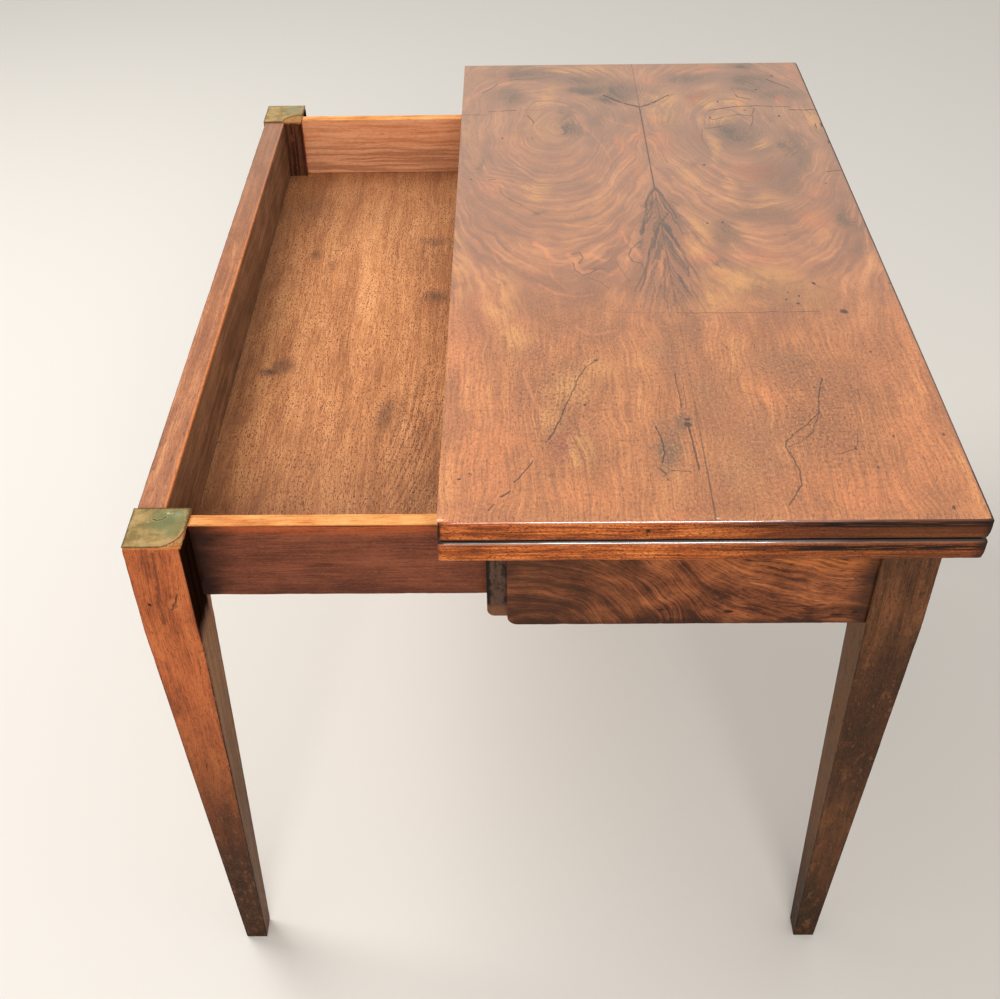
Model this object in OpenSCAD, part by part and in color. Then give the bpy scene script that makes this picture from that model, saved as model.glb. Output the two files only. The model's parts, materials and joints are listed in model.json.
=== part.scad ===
// Extending game table: a fixed frame on two legs carries a folding two-leaf
// top, and a second frame on the other two legs slides out with an open tray.
// +Z is up, X runs across the leaves, Y runs along them, and the origin is on
// the floor at the centre of the extended table.

/* [Top] */
// Width of one leaf, from the hinged edge to the moulded edge
leaf_w = 500; // [440:5:560]
// Length of both leaves
leaf_l = 1028; // [920:2:1140]
// Thickness of one leaf
leaf_t = 25; // [22:0.5:30]
// Height of the gap between the folded leaves
leaf_gap = 0.5; // [0.3:0.1:1]
// Overhang past the fixed legs on the moulded edge
over_long = 28; // [15:1:40]
// Overhang past the closed sliding legs on the hinged edge
over_hinge = 6; // [3:1:15]
// Overhang past the legs at each end of the leaves
over_end = 24; // [15:1:35]
// Radius of the moulding on the long edge
edge_long_r = 9; // [6:0.5:10]
// Radius of the softened end edges
edge_end_r = 4.5; // [2:0.5:6]
// Radius of the two moulded corners seen from above
corner_r = 7; // [6:0.5:12]
// Width of the cross-grained cleat at each end of a leaf
cleat_w = 70; // [60:1:100]
// Length of the tongue that joins a core to its cleat
cleat_tongue_l = 14; // [8:1:20]
// Thickness of that tongue
cleat_tongue_t = 8; // [6:0.5:10]
// Distance from the side of a leaf to the end of that tongue
cleat_tongue_in = 25; // [15:1:40]
// Thickness of the veneer on the show face
veneer_t = 1.2; // [0.8:0.1:2]
// Distance of the book-matched seam from the hinged edge
seam_x = 250; // [200:1:300]
// Thickness of the baize on the playing faces
baize_t = 1; // [0.8:0.1:1.5]
// Wooden border round the baize
border = 48; // [35:1:70]
// Wooden border beside the hinged edge
border_hinge = 15; // [12:1:30]

/* [Legs] */
// Height of the legs and of the fixed frame
leg_h = 715; // [640:1:760]
// Section of a leg at the top
leg_sec = 56; // [50:1:64]
// Section of a leg at the foot
leg_foot = 26; // [20:1:34]
// Height at which the taper begins
taper_h = 600; // [560:1:602]
// Width of the worn arris along a leg
leg_arris = 1.2; // [0.6:0.1:2]
// Thickness of the baize pads on the sliding legs
pad_t = 1; // [0.6:0.1:1.5]
// Radius that rounds the inner corner of the front pad
pad_round_r = 30; // [15:1:32]
// Radius of the bite out of the inner corner of the back pad
pad_bite_r = 23; // [12:1:28]
// Distance of the middle of that bite from the inner side of the leg
pad_bite_in = 5; // [2:1:12]

/* [Fixed frame] */
// Height of the fixed rails
apron_h = 110; // [90:1:112]
// Thickness of the front and back rails
rail_t = 30.5; // [26:0.5:32]
// Thickness of the two long rails
long_rail_t = 29; // [22:0.5:30]
// Step of every rail behind the face of its leg
rail_step = 2; // [1:0.5:4]
// Length of the tongue on the free end of a fixed rail
tongue_l = 20; // [14:1:22]
// Thickness of that tongue
tongue_t = 12; // [10:0.5:13]
// Step of the tongue behind the face of the leg
tongue_step = 11; // [9:0.5:12]
// Step of the tongue above the bottom of its rail
tongue_up = 3.5; // [1:0.5:6]
// Step of the tongue below the top of its rail
tongue_down = 14; // [12:0.5:20]
// Radius on the lower corner of the tongue
tongue_r = 4; // [2:0.5:6]
// Radius on the lower free corner of a fixed rail
rail_corner_r = 6; // [3:0.5:8]
// Height of the ledges that carry the sliding rails
ledge_h = 12; // [10:0.5:14]
// Length of the glue blocks behind the long rail
block_l = 88; // [60:1:120]
// Depth of a glue block, also its height
block_w = 22; // [16:1:23]
// Number of glue blocks
block_n = 5; // [3:1:6]
// Distance of the long screws from both ends of a fixed rail
rail_screw_end = 80; // [50:1:110]

/* [Sliding frame] */
// Length of the sliding rails that stays in the fixed frame when the tray is out
overlap = 46.7; // [40:0.1:80]
// Thickness of the sliding front and back rails
slide_t = 15; // [13:0.5:17]
// Step of the sliding rails below the top of their pads
slide_drop = 1.6; // [1.2:0.1:3]
// Thickness of the tray floor
floor_t = 10; // [7:0.5:12]
// Depth of the rebates and grooves that hold the floor
floor_in = 8; // [5:0.5:10]
// Thickness of the rail at the hidden end of the tray
end_rail_t = 15; // [12:0.5:16]
// Depth of the rebates that hold that rail
end_rail_in = 5; // [4:0.5:8]

/* [Joints and hardware] */
// Thickness of the tenons
tenon_t = 9; // [8:0.5:10]
// Length of the tenons
tenon_l = 28; // [18:1:28]
// Shoulder above and below each tenon
tenon_shoulder = 13; // [10:1:16]
// Step of the rail tenons towards the outside of the leg
tenon_out = 4; // [0:0.5:5]
// Length of a brass hinge
hinge_l = 60; // [45:1:80]
// Height of one hinge plate
hinge_plate_w = 16; // [14:0.5:20]
// Thickness of a hinge plate
hinge_plate_t = 2; // [1.5:0.1:2.5]
// Radius of the hinge knuckles
knuckle_r = 2.5; // [2.2:0.1:3]
// Radius of the hinge pins
hinge_pin_r = 1; // [0.8:0.1:1.2]
// Distance of the outer hinges from the ends of the leaf, to their middle
hinge_end = 154; // [145:1:250]
// Radius of the hinge screws
hinge_screw_r = 1.5; // [1.2:0.1:1.8]
// Length of the hinge screws
hinge_screw_l = 16; // [10:1:20]
// Radius of the long screws that hold the top
top_screw_r = 2.2; // [1.8:0.1:2.6]
// Depth to which those screws enter the leaf
top_screw_in = 15; // [10:0.5:18]
// Length of the screws in the fixed rails
rail_screw_l = 65; // [40:1:80]
// Length of the screws that hold the ledges
ledge_screw_l = 26; // [20:1:32]
// Distance of the outer screws from the ends of a ledge
ledge_screw_end = 30; // [20:1:60]
// Length of the nails in the tray floor
nail_l = 28; // [20:1:35]
// Number of nails along each side of the tray floor
nail_n = 5; // [3:1:8]

/* [Hidden] */
// Running clearance between the two frames
run = 0.3;
// Clearance beside the sliding rails
side_run = 0.5;
// Clearance round a glued tenon, a plate or a panel edge
fit = 0.1;
// Radial clearance of a screw, a nail or a hinge pin
pin_fit = 0.05;
// Clearance at the blind end of a mortise or a hole
end_fit = 1;
// Clearance round the tongue in its slot
slot_fit = 0.5;
// Clearance beyond the end of the tongue and below it
slot_deep = 2;
// Clearance between the closed tray and the fixed legs
tray_stop = 2;
// Extra length of a cutter past the face that it leaves
cut = 1;
// Depth of the chamfer under a foot
foot_chamfer = 1.2;
// Distance of the hinge screws from the hinge line, as a share of the plate
hinge_screw_share = 0.6;
// Radii of the screw heads, as shares of the screw's own radius
head_ratio = 2;
// Width and depth of the slot in a screw head
slot_w = 0.7;
slot_d = 0.6;
// Counterbore round a long screw
counterbore_r = top_screw_r * head_ratio + end_fit;
// Nail shank and head
nail_r = 1;
nail_head_r = 2.4;
nail_head_h = 0.8;
$fn = 48;

// Positions across the table
frame_w = leaf_w - over_hinge - over_long;
frame_l = leaf_l - 2 * over_end;
slide_l = frame_w - 2 * leg_sec - tray_stop;
travel = slide_l - run - overlap;
x_right = (travel + frame_w - over_long) / 2;
x_left = x_right - frame_w - travel;
x_hinge = x_right + over_long - leaf_w;
x_rail_end = x_right - frame_w + leg_sec + run;
x_slide = x_left + leg_sec;
x_slide_end = x_slide + slide_l;
x_end_rail = x_slide_end - end_rail_t;
x_cross = x_end_rail - run;
x_inner_right = x_right - rail_step - long_rail_t;
x_inner_left = x_left + rail_step + long_rail_t;

// Depths behind the front face of the front legs
slide_step = rail_step + rail_t + side_run;
slide_in = slide_step + slide_t;
y_leg = -frame_l / 2;
y_in = y_leg + leg_sec;

// Heights
z_apron = leg_h - apron_h;
z_ledge = z_apron + ledge_h;
z_slide = z_ledge + run;
z_floor = z_slide + floor_t;
z_pad = leg_h - run;
z_leg_left = z_pad - pad_t;
z_slide_top = z_pad - slide_drop;
z_leaf_low = leg_h;
z_leaf_up = leg_h + leaf_t + leaf_gap;
z_pivot = z_leaf_up - leaf_gap / 2;
x_pivot = x_hinge - leaf_gap / 2;

// Tenons and their mortises
long_tenon_x = rail_step + (long_rail_t - tenon_t) / 2 - tenon_out;
rail_tenon_y = rail_step + (rail_t - tenon_t) / 2 - tenon_out;
slide_tenon_y = slide_step + (slide_t - tenon_t) / 2;
z_tenon = z_apron + tenon_shoulder;
z_tenon_top = z_leg_left - tenon_shoulder;
z_slide_tenon = z_slide + tenon_shoulder;
z_slide_tenon_top = z_slide_top - tenon_shoulder;

// Long screws: two in each fixed rail, one in each glue block
rail_screw_x = [x_right - leg_sec - rail_screw_end, x_rail_end + rail_screw_end];
rail_screw_y = rail_step + rail_t / 2;
block_pitch = (frame_l - 2 * leg_sec - 2 * block_l) / (block_n - 1);
block_y = [for (i = [0 : block_n - 1]) y_in + block_l + i * block_pitch];
z_block = leg_h - block_w;
z_top_screw = leg_h + top_screw_in;
ledge_screw_in = x_right - leg_sec - ledge_screw_end;
ledge_screw_out = x_cross + run + ledge_screw_end;
ledge_screw_x = [ledge_screw_out, (ledge_screw_out + ledge_screw_in) / 2, ledge_screw_in];
hinge_y = [-leaf_l / 2 + hinge_end, 0, leaf_l / 2 - hinge_end];
hinge_screw_y = [-hinge_l / 3, 0, hinge_l / 3];
hinge_screw_z = hinge_plate_w * hinge_screw_share;
knuckle_half = hinge_l / 6;

wood_brown = [0.45, 0.25, 0.15];
wood_orange = [0.62, 0.34, 0.18];
wood_dark = [0.27, 0.17, 0.12];
wood_tray = [0.52, 0.30, 0.18];
veneer_brown = [0.60, 0.36, 0.22];
baize_green = [0.38, 0.44, 0.25];
brass = [0.72, 0.58, 0.30];
steel = [0.45, 0.44, 0.42];

// Shared shapes

// A box between two opposite corners
module span(low, high) {
    translate(low) cube(high - low);
}

// The same thing at the back of the table
module at_back() {
    mirror([0, 1, 0]) children();
}

// One thing at the front and its mirror image at the back
module both_ends() {
    children();
    at_back() children();
}

// The waste outside a rounded corner whose point is at the origin, pointing to -X -Y
module corner_waste(r) {
    difference() {
        translate([-cut, -cut]) square(r + cut);
        translate([r, r]) circle(r);
    }
}

// A screw that points up, with its slotted head at the bottom
module screw(r, l, head_h) {
    difference() {
        union() {
            cylinder(r = r, h = l);
            cylinder(r1 = r * head_ratio, r2 = r, h = head_h);
        }
        translate([-r * head_ratio - cut, -slot_w / 2, -cut])
            cube([2 * (r * head_ratio + cut), slot_w, slot_d + cut]);
    }
}

// The hole for that screw, countersunk at the bottom
module screw_hole(r, l, head_h) {
    translate([0, 0, -cut]) cylinder(r = r + pin_fit, h = l + end_fit + cut);
    cylinder(r1 = r * head_ratio + pin_fit, r2 = r + pin_fit, h = head_h);
}

// Legs

// A slab with the leg's taper on two sides, seen along Y
module taper_slab(top_half, foot_half, h) {
    rotate([90, 0, 0]) linear_extrude(height = 2 * leg_sec, center = true) polygon([
        [-foot_half + foot_chamfer, 0], [foot_half - foot_chamfer, 0],
        [foot_half, foot_chamfer], [top_half, taper_h], [top_half, h],
        [-top_half, h], [-top_half, taper_h], [-foot_half, foot_chamfer]
    ]);
}

// A square tapered leg on its own centre line, with softened arrises
module leg_blank(h) {
    diagonal = sqrt(2) / 2;
    intersection() {
        taper_slab(leg_sec / 2, leg_foot / 2, h);
        rotate([0, 0, 90]) taper_slab(leg_sec / 2, leg_foot / 2, h);
        for (a = [45, 135]) rotate([0, 0, a])
            taper_slab(leg_sec * diagonal - leg_arris, leg_foot * diagonal - leg_arris, h);
    }
}

// A front leg of the fixed frame, with mortises for its two rails
module fixed_leg() {
    difference() {
        translate([x_right - leg_sec / 2, y_leg + leg_sec / 2, 0]) leg_blank(leg_h);
        span([x_right - leg_sec - cut, y_leg + rail_tenon_y - fit, z_tenon - fit],
             [x_right - leg_sec + tenon_l + end_fit,
              y_leg + rail_tenon_y + tenon_t + fit, z_tenon_top + fit]);
        span([x_right - long_tenon_x - tenon_t - fit, y_in - tenon_l - end_fit, z_tenon - fit],
             [x_right - long_tenon_x + fit, y_in + cut, z_tenon_top + fit]);
    }
}

// The blind slot that takes the tongue of the fixed rail when the table closes
module tongue_slot() {
    slot_width = tongue_t + 2 * slot_fit;
    low = z_apron + tongue_up - slot_deep;
    high = leg_h - tongue_down + slot_deep;
    translate([x_slide - tongue_l - slot_deep, y_leg + tongue_step - slot_fit, 0]) {
        span([0, 0, low], [tongue_l + slot_deep + cut, slot_width, high]);
        translate([0, slot_width / 2, low]) rotate([0, 90, 0])
            cylinder(r = slot_width / 2, h = tongue_l + slot_deep + cut);
    }
}

// A front leg of the sliding frame, with its slot and mortises
module sliding_leg() {
    difference() {
        translate([x_left + leg_sec / 2, y_leg + leg_sec / 2, 0]) leg_blank(z_leg_left);
        tongue_slot();
        span([x_slide - tenon_l - end_fit, y_leg + slide_tenon_y - fit, z_slide_tenon - fit],
             [x_slide + cut, y_leg + slide_tenon_y + tenon_t + fit, z_slide_tenon_top + fit]);
        span([x_left + long_tenon_x - fit, y_in - tenon_l - end_fit, z_tenon - fit],
             [x_left + long_tenon_x + tenon_t + fit, y_in + cut, z_tenon_top + fit]);
    }
}

module leg_front_right() {
    color(wood_dark) fixed_leg();
}

module leg_back_right() {
    color(wood_dark) at_back() fixed_leg();
}

module leg_front_left() {
    color(wood_orange) sliding_leg();
}

module leg_back_left() {
    color(wood_orange) at_back() sliding_leg();
}

// The front pad, with its inner corner rounded off
module pad_front() {
    color(baize_green) translate([x_left, y_leg, z_leg_left]) linear_extrude(height = pad_t) difference() {
        square(leg_sec);
        translate([leg_sec, 0]) mirror([1, 0]) corner_waste(pad_round_r);
    }
}

// The back pad, with a bite out of its inner corner
module pad_back() {
    color(baize_green) translate([x_left, -y_leg - leg_sec, z_leg_left]) linear_extrude(height = pad_t)
        difference() {
            square(leg_sec);
            translate([leg_sec - pad_bite_in, 0]) circle(pad_bite_r);
            translate([leg_sec - pad_bite_in, -cut]) square([pad_bite_in + cut, pad_bite_r + cut]);
        }
}

// Fixed frame

// A fixed rail seen from the front, without its tenon
module rail_outline() {
    difference() {
        translate([x_rail_end, z_apron]) square([x_right - leg_sec - x_rail_end, apron_h]);
        translate([x_rail_end, z_apron]) corner_waste(rail_corner_r);
    }
}

// The tongue on the free end of a fixed rail, seen from the front
module tongue_outline() {
    difference() {
        translate([x_rail_end - tongue_l, z_apron + tongue_up])
            square([tongue_l + rail_corner_r * 2, apron_h - tongue_up - tongue_down]);
        translate([x_rail_end - tongue_l, z_apron + tongue_up]) corner_waste(tongue_r);
    }
}

// An outline in X and Z given a thickness along Y, from a depth behind the leg face
module upright(depth, t) {
    translate([0, y_leg + depth + t, 0]) rotate([90, 0, 0]) linear_extrude(height = t) children();
}

module fixed_rail() {
    difference() {
        union() {
            upright(rail_step, rail_t) rail_outline();
            upright(tongue_step, tongue_t) tongue_outline();
            span([x_right - leg_sec, y_leg + rail_tenon_y, z_tenon],
                 [x_right - leg_sec + tenon_l, y_leg + rail_tenon_y + tenon_t, z_tenon_top]);
        }
        for (x = rail_screw_x) translate([x, y_leg + rail_screw_y, 0]) {
            translate([0, 0, z_apron - cut])
                cylinder(r = counterbore_r, h = z_top_screw - rail_screw_l - z_apron + cut);
            cylinder(r = top_screw_r + pin_fit, h = leg_h + cut);
            translate([0, 0, z_top_screw - rail_screw_l])
                cylinder(r1 = top_screw_r * head_ratio + pin_fit, r2 = top_screw_r + pin_fit,
                         h = top_screw_r);
        }
        for (x = ledge_screw_x) ledge_screw_at(x) screw_hole(hinge_screw_r, ledge_screw_l, hinge_screw_r);
        cross_rail_end(fit);
    }
}

module rail_front() {
    color(wood_brown) fixed_rail();
}

module rail_back() {
    color(wood_brown) at_back() fixed_rail();
}

module rail_right() {
    color(wood_brown) {
        span([x_inner_right, y_in, z_apron], [x_right - rail_step, -y_in, leg_h]);
        both_ends() span([x_right - long_tenon_x - tenon_t, y_in - tenon_l, z_tenon],
                         [x_right - long_tenon_x, y_in + cut, z_tenon_top]);
    }
}

// Puts a screw that points up onto a ledge, pointing outwards into the fixed rail
module ledge_screw_at(x) {
    translate([x, y_leg + slide_in - side_run, z_apron + ledge_h / 2]) rotate([90, 0, 0]) children();
}

// The ledge on the inner face of a fixed rail that carries the sliding rail
module ledge() {
    difference() {
        span([x_cross + run, y_leg + rail_step + rail_t, z_apron],
             [x_right - leg_sec, y_leg + slide_in - side_run, z_ledge]);
        for (x = ledge_screw_x) ledge_screw_at(x) screw_hole(hinge_screw_r, ledge_screw_l, hinge_screw_r);
    }
}

module ledge_front() {
    color(wood_tray) ledge();
}

module ledge_back() {
    color(wood_tray) at_back() ledge();
}

module ledge_screws() {
    color(steel) both_ends() for (x = ledge_screw_x)
        ledge_screw_at(x) screw(hinge_screw_r, ledge_screw_l, hinge_screw_r);
}

// The end of the cross rail that is housed in a fixed rail, with a clearance round it
module cross_rail_end(c) {
    span([x_rail_end + rail_corner_r - c, y_leg + rail_step + rail_t - floor_in - c,
          z_apron + slot_deep - c],
         [x_cross - slot_deep + c, y_leg + rail_step + rail_t + cut, z_ledge - slot_deep + c]);
}

// The flat rail that ties the fixed rails and stops the tray when it is pulled out
module cross_rail() {
    color(wood_tray) {
        span([x_rail_end + rail_corner_r - slot_deep, y_leg + rail_step + rail_t, z_apron],
             [x_cross, -y_leg - rail_step - rail_t, z_ledge]);
        both_ends() cross_rail_end(0);
    }
}

module glue_blocks() {
    color(wood_tray) for (y = block_y) difference() {
        span([x_inner_right - block_w, y - block_l / 2, z_block], [x_inner_right, y + block_l / 2, leg_h]);
        translate([x_inner_right - block_w / 2, y, z_block]) screw_hole(top_screw_r, block_w, top_screw_r);
    }
}

module block_screws() {
    color(steel) for (y = block_y) translate([x_inner_right - block_w / 2, y, z_block])
        screw(top_screw_r, block_w + top_screw_in, top_screw_r);
}

module rail_screws() {
    color(steel) both_ends() for (x = rail_screw_x)
        translate([x, y_leg + rail_screw_y, z_top_screw - rail_screw_l])
            screw(top_screw_r, rail_screw_l, top_screw_r);
}

// Leaves. Each is drawn flat with its hinged edge at X 0 and its show face up.

// The moulded outside of a leaf
module leaf_envelope() {
    intersection() {
        rotate([90, 0, 0]) linear_extrude(height = leaf_l + 2 * cut, center = true) difference() {
            square([leaf_w, leaf_t]);
            translate([leaf_w, 0]) mirror([1, 0]) corner_waste(edge_long_r);
            translate([leaf_w, leaf_t]) rotate(180) corner_waste(edge_long_r);
        }
        rotate([90, 0, 90]) linear_extrude(height = leaf_w) difference() {
            translate([-leaf_l / 2, 0]) square([leaf_l, leaf_t]);
            for (side = [0, 1]) mirror([side, 0]) {
                translate([-leaf_l / 2, 0]) corner_waste(edge_end_r);
                translate([-leaf_l / 2, leaf_t]) mirror([0, 1]) corner_waste(edge_end_r);
            }
        }
        linear_extrude(height = leaf_t) difference() {
            translate([0, -leaf_l / 2]) square([leaf_w, leaf_l]);
            for (side = [0, 1]) mirror([0, side])
                translate([leaf_w, -leaf_l / 2]) mirror([1, 0]) corner_waste(corner_r);
        }
    }
}

// The space for the baize in the playing face, which is at the bottom here
module baize_recess() {
    span([border_hinge - fit, -leaf_l / 2 + border - fit, -cut],
         [leaf_w - border + fit, leaf_l / 2 - border + fit, baize_t]);
}

// The middle board of a leaf, up to the given thickness
module leaf_core(t) {
    y_core = leaf_l / 2 - cleat_w;
    z_tongue = (leaf_t - cleat_tongue_t) / 2;
    difference() {
        intersection() {
            leaf_envelope();
            union() {
                span([0, -y_core, 0], [leaf_w, y_core, t]);
                span([cleat_tongue_in, -y_core - cleat_tongue_l, z_tongue],
                     [leaf_w - cleat_tongue_in, y_core + cleat_tongue_l, z_tongue + cleat_tongue_t]);
            }
        }
        baize_recess();
    }
}

// The cleat at the front end of a leaf, grooved for the tongue of the core
module leaf_cleat(t) {
    y_core = -leaf_l / 2 + cleat_w;
    z_tongue = (leaf_t - cleat_tongue_t) / 2;
    difference() {
        intersection() {
            leaf_envelope();
            span([0, -leaf_l / 2 - cut, 0], [leaf_w, y_core, t]);
        }
        span([cleat_tongue_in - fit, y_core - cleat_tongue_l - end_fit, z_tongue - fit],
             [leaf_w - cleat_tongue_in + fit, y_core + cut, z_tongue + cleat_tongue_t + fit]);
        baize_recess();
    }
}

// Puts a leaf in its folded place above the lower one
module place_upper() {
    translate([x_hinge, 0, z_leaf_up]) children();
}

// Puts a leaf on the frame with its playing face up
module place_lower() {
    translate([x_hinge, 0, z_leaf_low + leaf_t]) mirror([0, 0, 1]) children();
}

module leaf_upper_core() {
    color(wood_orange) difference() {
        place_upper() leaf_core(leaf_t - veneer_t);
        hinge_cuts(1);
    }
}

module leaf_upper_cleat_front() {
    color(wood_orange) place_upper() leaf_cleat(leaf_t - veneer_t);
}

module leaf_upper_cleat_back() {
    color(wood_orange) at_back() place_upper() leaf_cleat(leaf_t - veneer_t);
}

module veneer_left() {
    color(veneer_brown) place_upper() intersection() {
        leaf_envelope();
        span([0, -leaf_l / 2, leaf_t - veneer_t], [seam_x, leaf_l / 2, leaf_t]);
    }
}

module veneer_right() {
    color(veneer_brown) place_upper() intersection() {
        leaf_envelope();
        span([seam_x, -leaf_l / 2, leaf_t - veneer_t], [leaf_w, leaf_l / 2, leaf_t]);
    }
}

// The baize panel of a leaf
module baize_panel() {
    span([border_hinge, -leaf_l / 2 + border, 0], [leaf_w - border, leaf_l / 2 - border, baize_t]);
}

module leaf_upper_baize() {
    color(baize_green) place_upper() baize_panel();
}

module leaf_lower_core() {
    color(wood_orange) difference() {
        place_lower() leaf_core(leaf_t);
        hinge_cuts(-1);
        for (y = block_y) translate([x_inner_right - block_w / 2, y, leg_h - cut])
            cylinder(r = top_screw_r + pin_fit, h = top_screw_in + end_fit + cut);
    }
}

// The front cleat of the lower leaf, bored for the screws of the rail below it
module lower_cleat() {
    difference() {
        place_lower() leaf_cleat(leaf_t);
        for (x = rail_screw_x) translate([x, y_leg + rail_screw_y, leg_h - cut])
            cylinder(r = top_screw_r + pin_fit, h = top_screw_in + end_fit + cut);
    }
}

module leaf_lower_cleat_front() {
    color(wood_orange) lower_cleat();
}

module leaf_lower_cleat_back() {
    color(wood_orange) at_back() lower_cleat();
}

module leaf_lower_baize() {
    color(baize_green) place_lower() baize_panel();
}

// Hinges, let into the hinged edges with their pins between the two leaves

// A round bar along the hinge line, from one distance along a hinge to another
module hinge_bar(r, y0, y1) {
    translate([x_pivot, y1, z_pivot]) rotate([90, 0, 0]) cylinder(r = r, h = y1 - y0);
}

// Puts a screw that points up into a hinge plate, pointing into the leaf's edge
module hinge_screw_at(y, side) {
    translate([x_hinge, y, z_pivot + side * hinge_screw_z]) rotate([0, 90, 0]) children();
}

// What the hinges need cut out of a leaf, above the pins for side 1 and below for -1
module hinge_cuts(side) {
    for (y = hinge_y) {
        hinge_bar(knuckle_r + run, y - hinge_l / 2 - fit, y + hinge_l / 2 + fit);
        translate([x_hinge - cut, y - hinge_l / 2 - fit, z_pivot]) scale_side(side)
            cube([hinge_plate_t + cut, hinge_l + 2 * fit, hinge_plate_w + fit]);
        for (dy = hinge_screw_y) hinge_screw_at(y + dy, side)
            cylinder(r = hinge_screw_r + pin_fit, h = hinge_screw_l + end_fit);
    }
}

// Turns what is drawn above the hinge line to below it for side -1
module scale_side(side) {
    if (side > 0) children();
    else mirror([0, 0, 1]) children();
}

// The plates on one side, with the knuckles between each pair of limits
module hinge_plates(side, knuckles, gaps) {
    for (y = hinge_y) difference() {
        union() {
            difference() {
                translate([x_hinge, y - hinge_l / 2, z_pivot]) scale_side(side)
                    translate([0, 0, leaf_gap / 2])
                        cube([hinge_plate_t, hinge_l, hinge_plate_w - leaf_gap / 2]);
                for (g = gaps) hinge_bar(knuckle_r + run, y + g[0], y + g[1]);
            }
            for (k = knuckles) hinge_bar(knuckle_r, y + k[0], y + k[1]);
        }
        hinge_bar(hinge_pin_r + pin_fit, y - hinge_l / 2 - cut, y + hinge_l / 2 + cut);
        for (dy = hinge_screw_y) hinge_screw_at(y + dy, side)
            screw_hole(hinge_screw_r, hinge_plate_t, hinge_screw_r);
    }
}

module hinge_plates_lower() {
    color(brass) hinge_plates(-1,
        [[-hinge_l / 2, -knuckle_half - run / 2], [knuckle_half + run / 2, hinge_l / 2]],
        [[-knuckle_half - run / 2, knuckle_half + run / 2]]);
}

module hinge_plates_upper() {
    color(brass) hinge_plates(1,
        [[-knuckle_half + run / 2, knuckle_half - run / 2]],
        [[-hinge_l / 2 - cut, -knuckle_half + run / 2], [knuckle_half - run / 2, hinge_l / 2 + cut]]);
}

module hinge_pins() {
    color(steel) for (y = hinge_y) hinge_bar(hinge_pin_r, y - hinge_l / 2, y + hinge_l / 2);
}

module hinge_screws_lower() {
    color(brass) for (y = hinge_y, dy = hinge_screw_y)
        hinge_screw_at(y + dy, -1) screw(hinge_screw_r, hinge_screw_l, hinge_screw_r);
}

module hinge_screws_upper() {
    color(brass) for (y = hinge_y, dy = hinge_screw_y)
        hinge_screw_at(y + dy, 1) screw(hinge_screw_r, hinge_screw_l, hinge_screw_r);
}

// Sliding frame

// Where the nails go along the front edge of the tray floor
nail_pitch = (x_end_rail - x_slide - leg_sec) / (nail_n - 1);
nail_x = [for (i = [0 : nail_n - 1]) x_slide + leg_sec / 2 + i * nail_pitch];
nail_y = y_leg + slide_in - floor_in / 2;

// Space for one nail that enters from below the floor
module nail_hole() {
    translate([0, 0, z_slide - cut]) cylinder(r = nail_r + pin_fit, h = nail_l + end_fit + cut);
    translate([0, 0, z_slide - cut]) cylinder(r = nail_head_r + pin_fit, h = nail_head_h + cut);
}

module slide_rail() {
    difference() {
        union() {
            span([x_slide, y_leg + slide_step, z_slide], [x_slide_end, y_leg + slide_in, z_slide_top]);
            span([x_slide - tenon_l, y_leg + slide_tenon_y, z_slide_tenon],
                 [x_slide + cut, y_leg + slide_tenon_y + tenon_t, z_slide_tenon_top]);
        }
        span([x_slide, y_leg + slide_in - floor_in, z_slide - cut],
             [x_slide_end + cut, y_leg + slide_in + cut, z_floor]);
        span([x_end_rail, y_leg + slide_in - end_rail_in, z_slide - cut],
             [x_slide_end + cut, y_leg + slide_in + cut, z_slide_top + cut]);
        for (x = nail_x) translate([x, nail_y, 0]) nail_hole();
    }
}

module slide_rail_front() {
    color(wood_brown) slide_rail();
}

module slide_rail_back() {
    color(wood_brown) at_back() slide_rail();
}

module rail_left() {
    color(wood_brown) difference() {
        union() {
            span([x_left + rail_step, y_in, z_apron], [x_inner_left, -y_in, z_slide_top]);
            both_ends() span([x_left + long_tenon_x, y_in - tenon_l, z_tenon],
                             [x_left + long_tenon_x + tenon_t, y_in + cut, z_tenon_top]);
        }
        span([x_inner_left - floor_in, y_in - cut, z_slide],
             [x_inner_left + cut, -y_in + cut, z_floor + fit]);
    }
}

// The floor, rebated into the sliding rails, grooved into the other two and notched round the legs
module tray_floor() {
    y_edge = y_leg + slide_in - floor_in;
    color(wood_tray) difference() {
        union() {
            span([x_inner_left - floor_in + fit, y_in + fit, z_slide],
                 [x_slide + fit, -y_in - fit, z_floor]);
            span([x_slide + fit, y_edge, z_slide], [x_end_rail, -y_edge, z_floor]);
        }
        both_ends() for (x = nail_x) translate([x, nail_y, 0]) nail_hole();
    }
}

// The rail at the hidden end, whose lower edge meets the cross rail when the tray is out
module tray_end_rail() {
    y_lip = y_leg + slide_in + fit;
    color(wood_tray) {
        span([x_end_rail, y_leg + slide_in - end_rail_in, z_slide],
             [x_slide_end, -y_leg - slide_in + end_rail_in, z_slide_top]);
        span([x_end_rail, y_lip, z_apron + run], [x_slide_end, -y_lip, z_slide]);
    }
}

module tray_nails() {
    color(steel) both_ends() for (x = nail_x) translate([x, nail_y, z_slide]) {
        cylinder(r = nail_r, h = nail_l);
        cylinder(r = nail_head_r, h = nail_head_h);
    }
}

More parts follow.
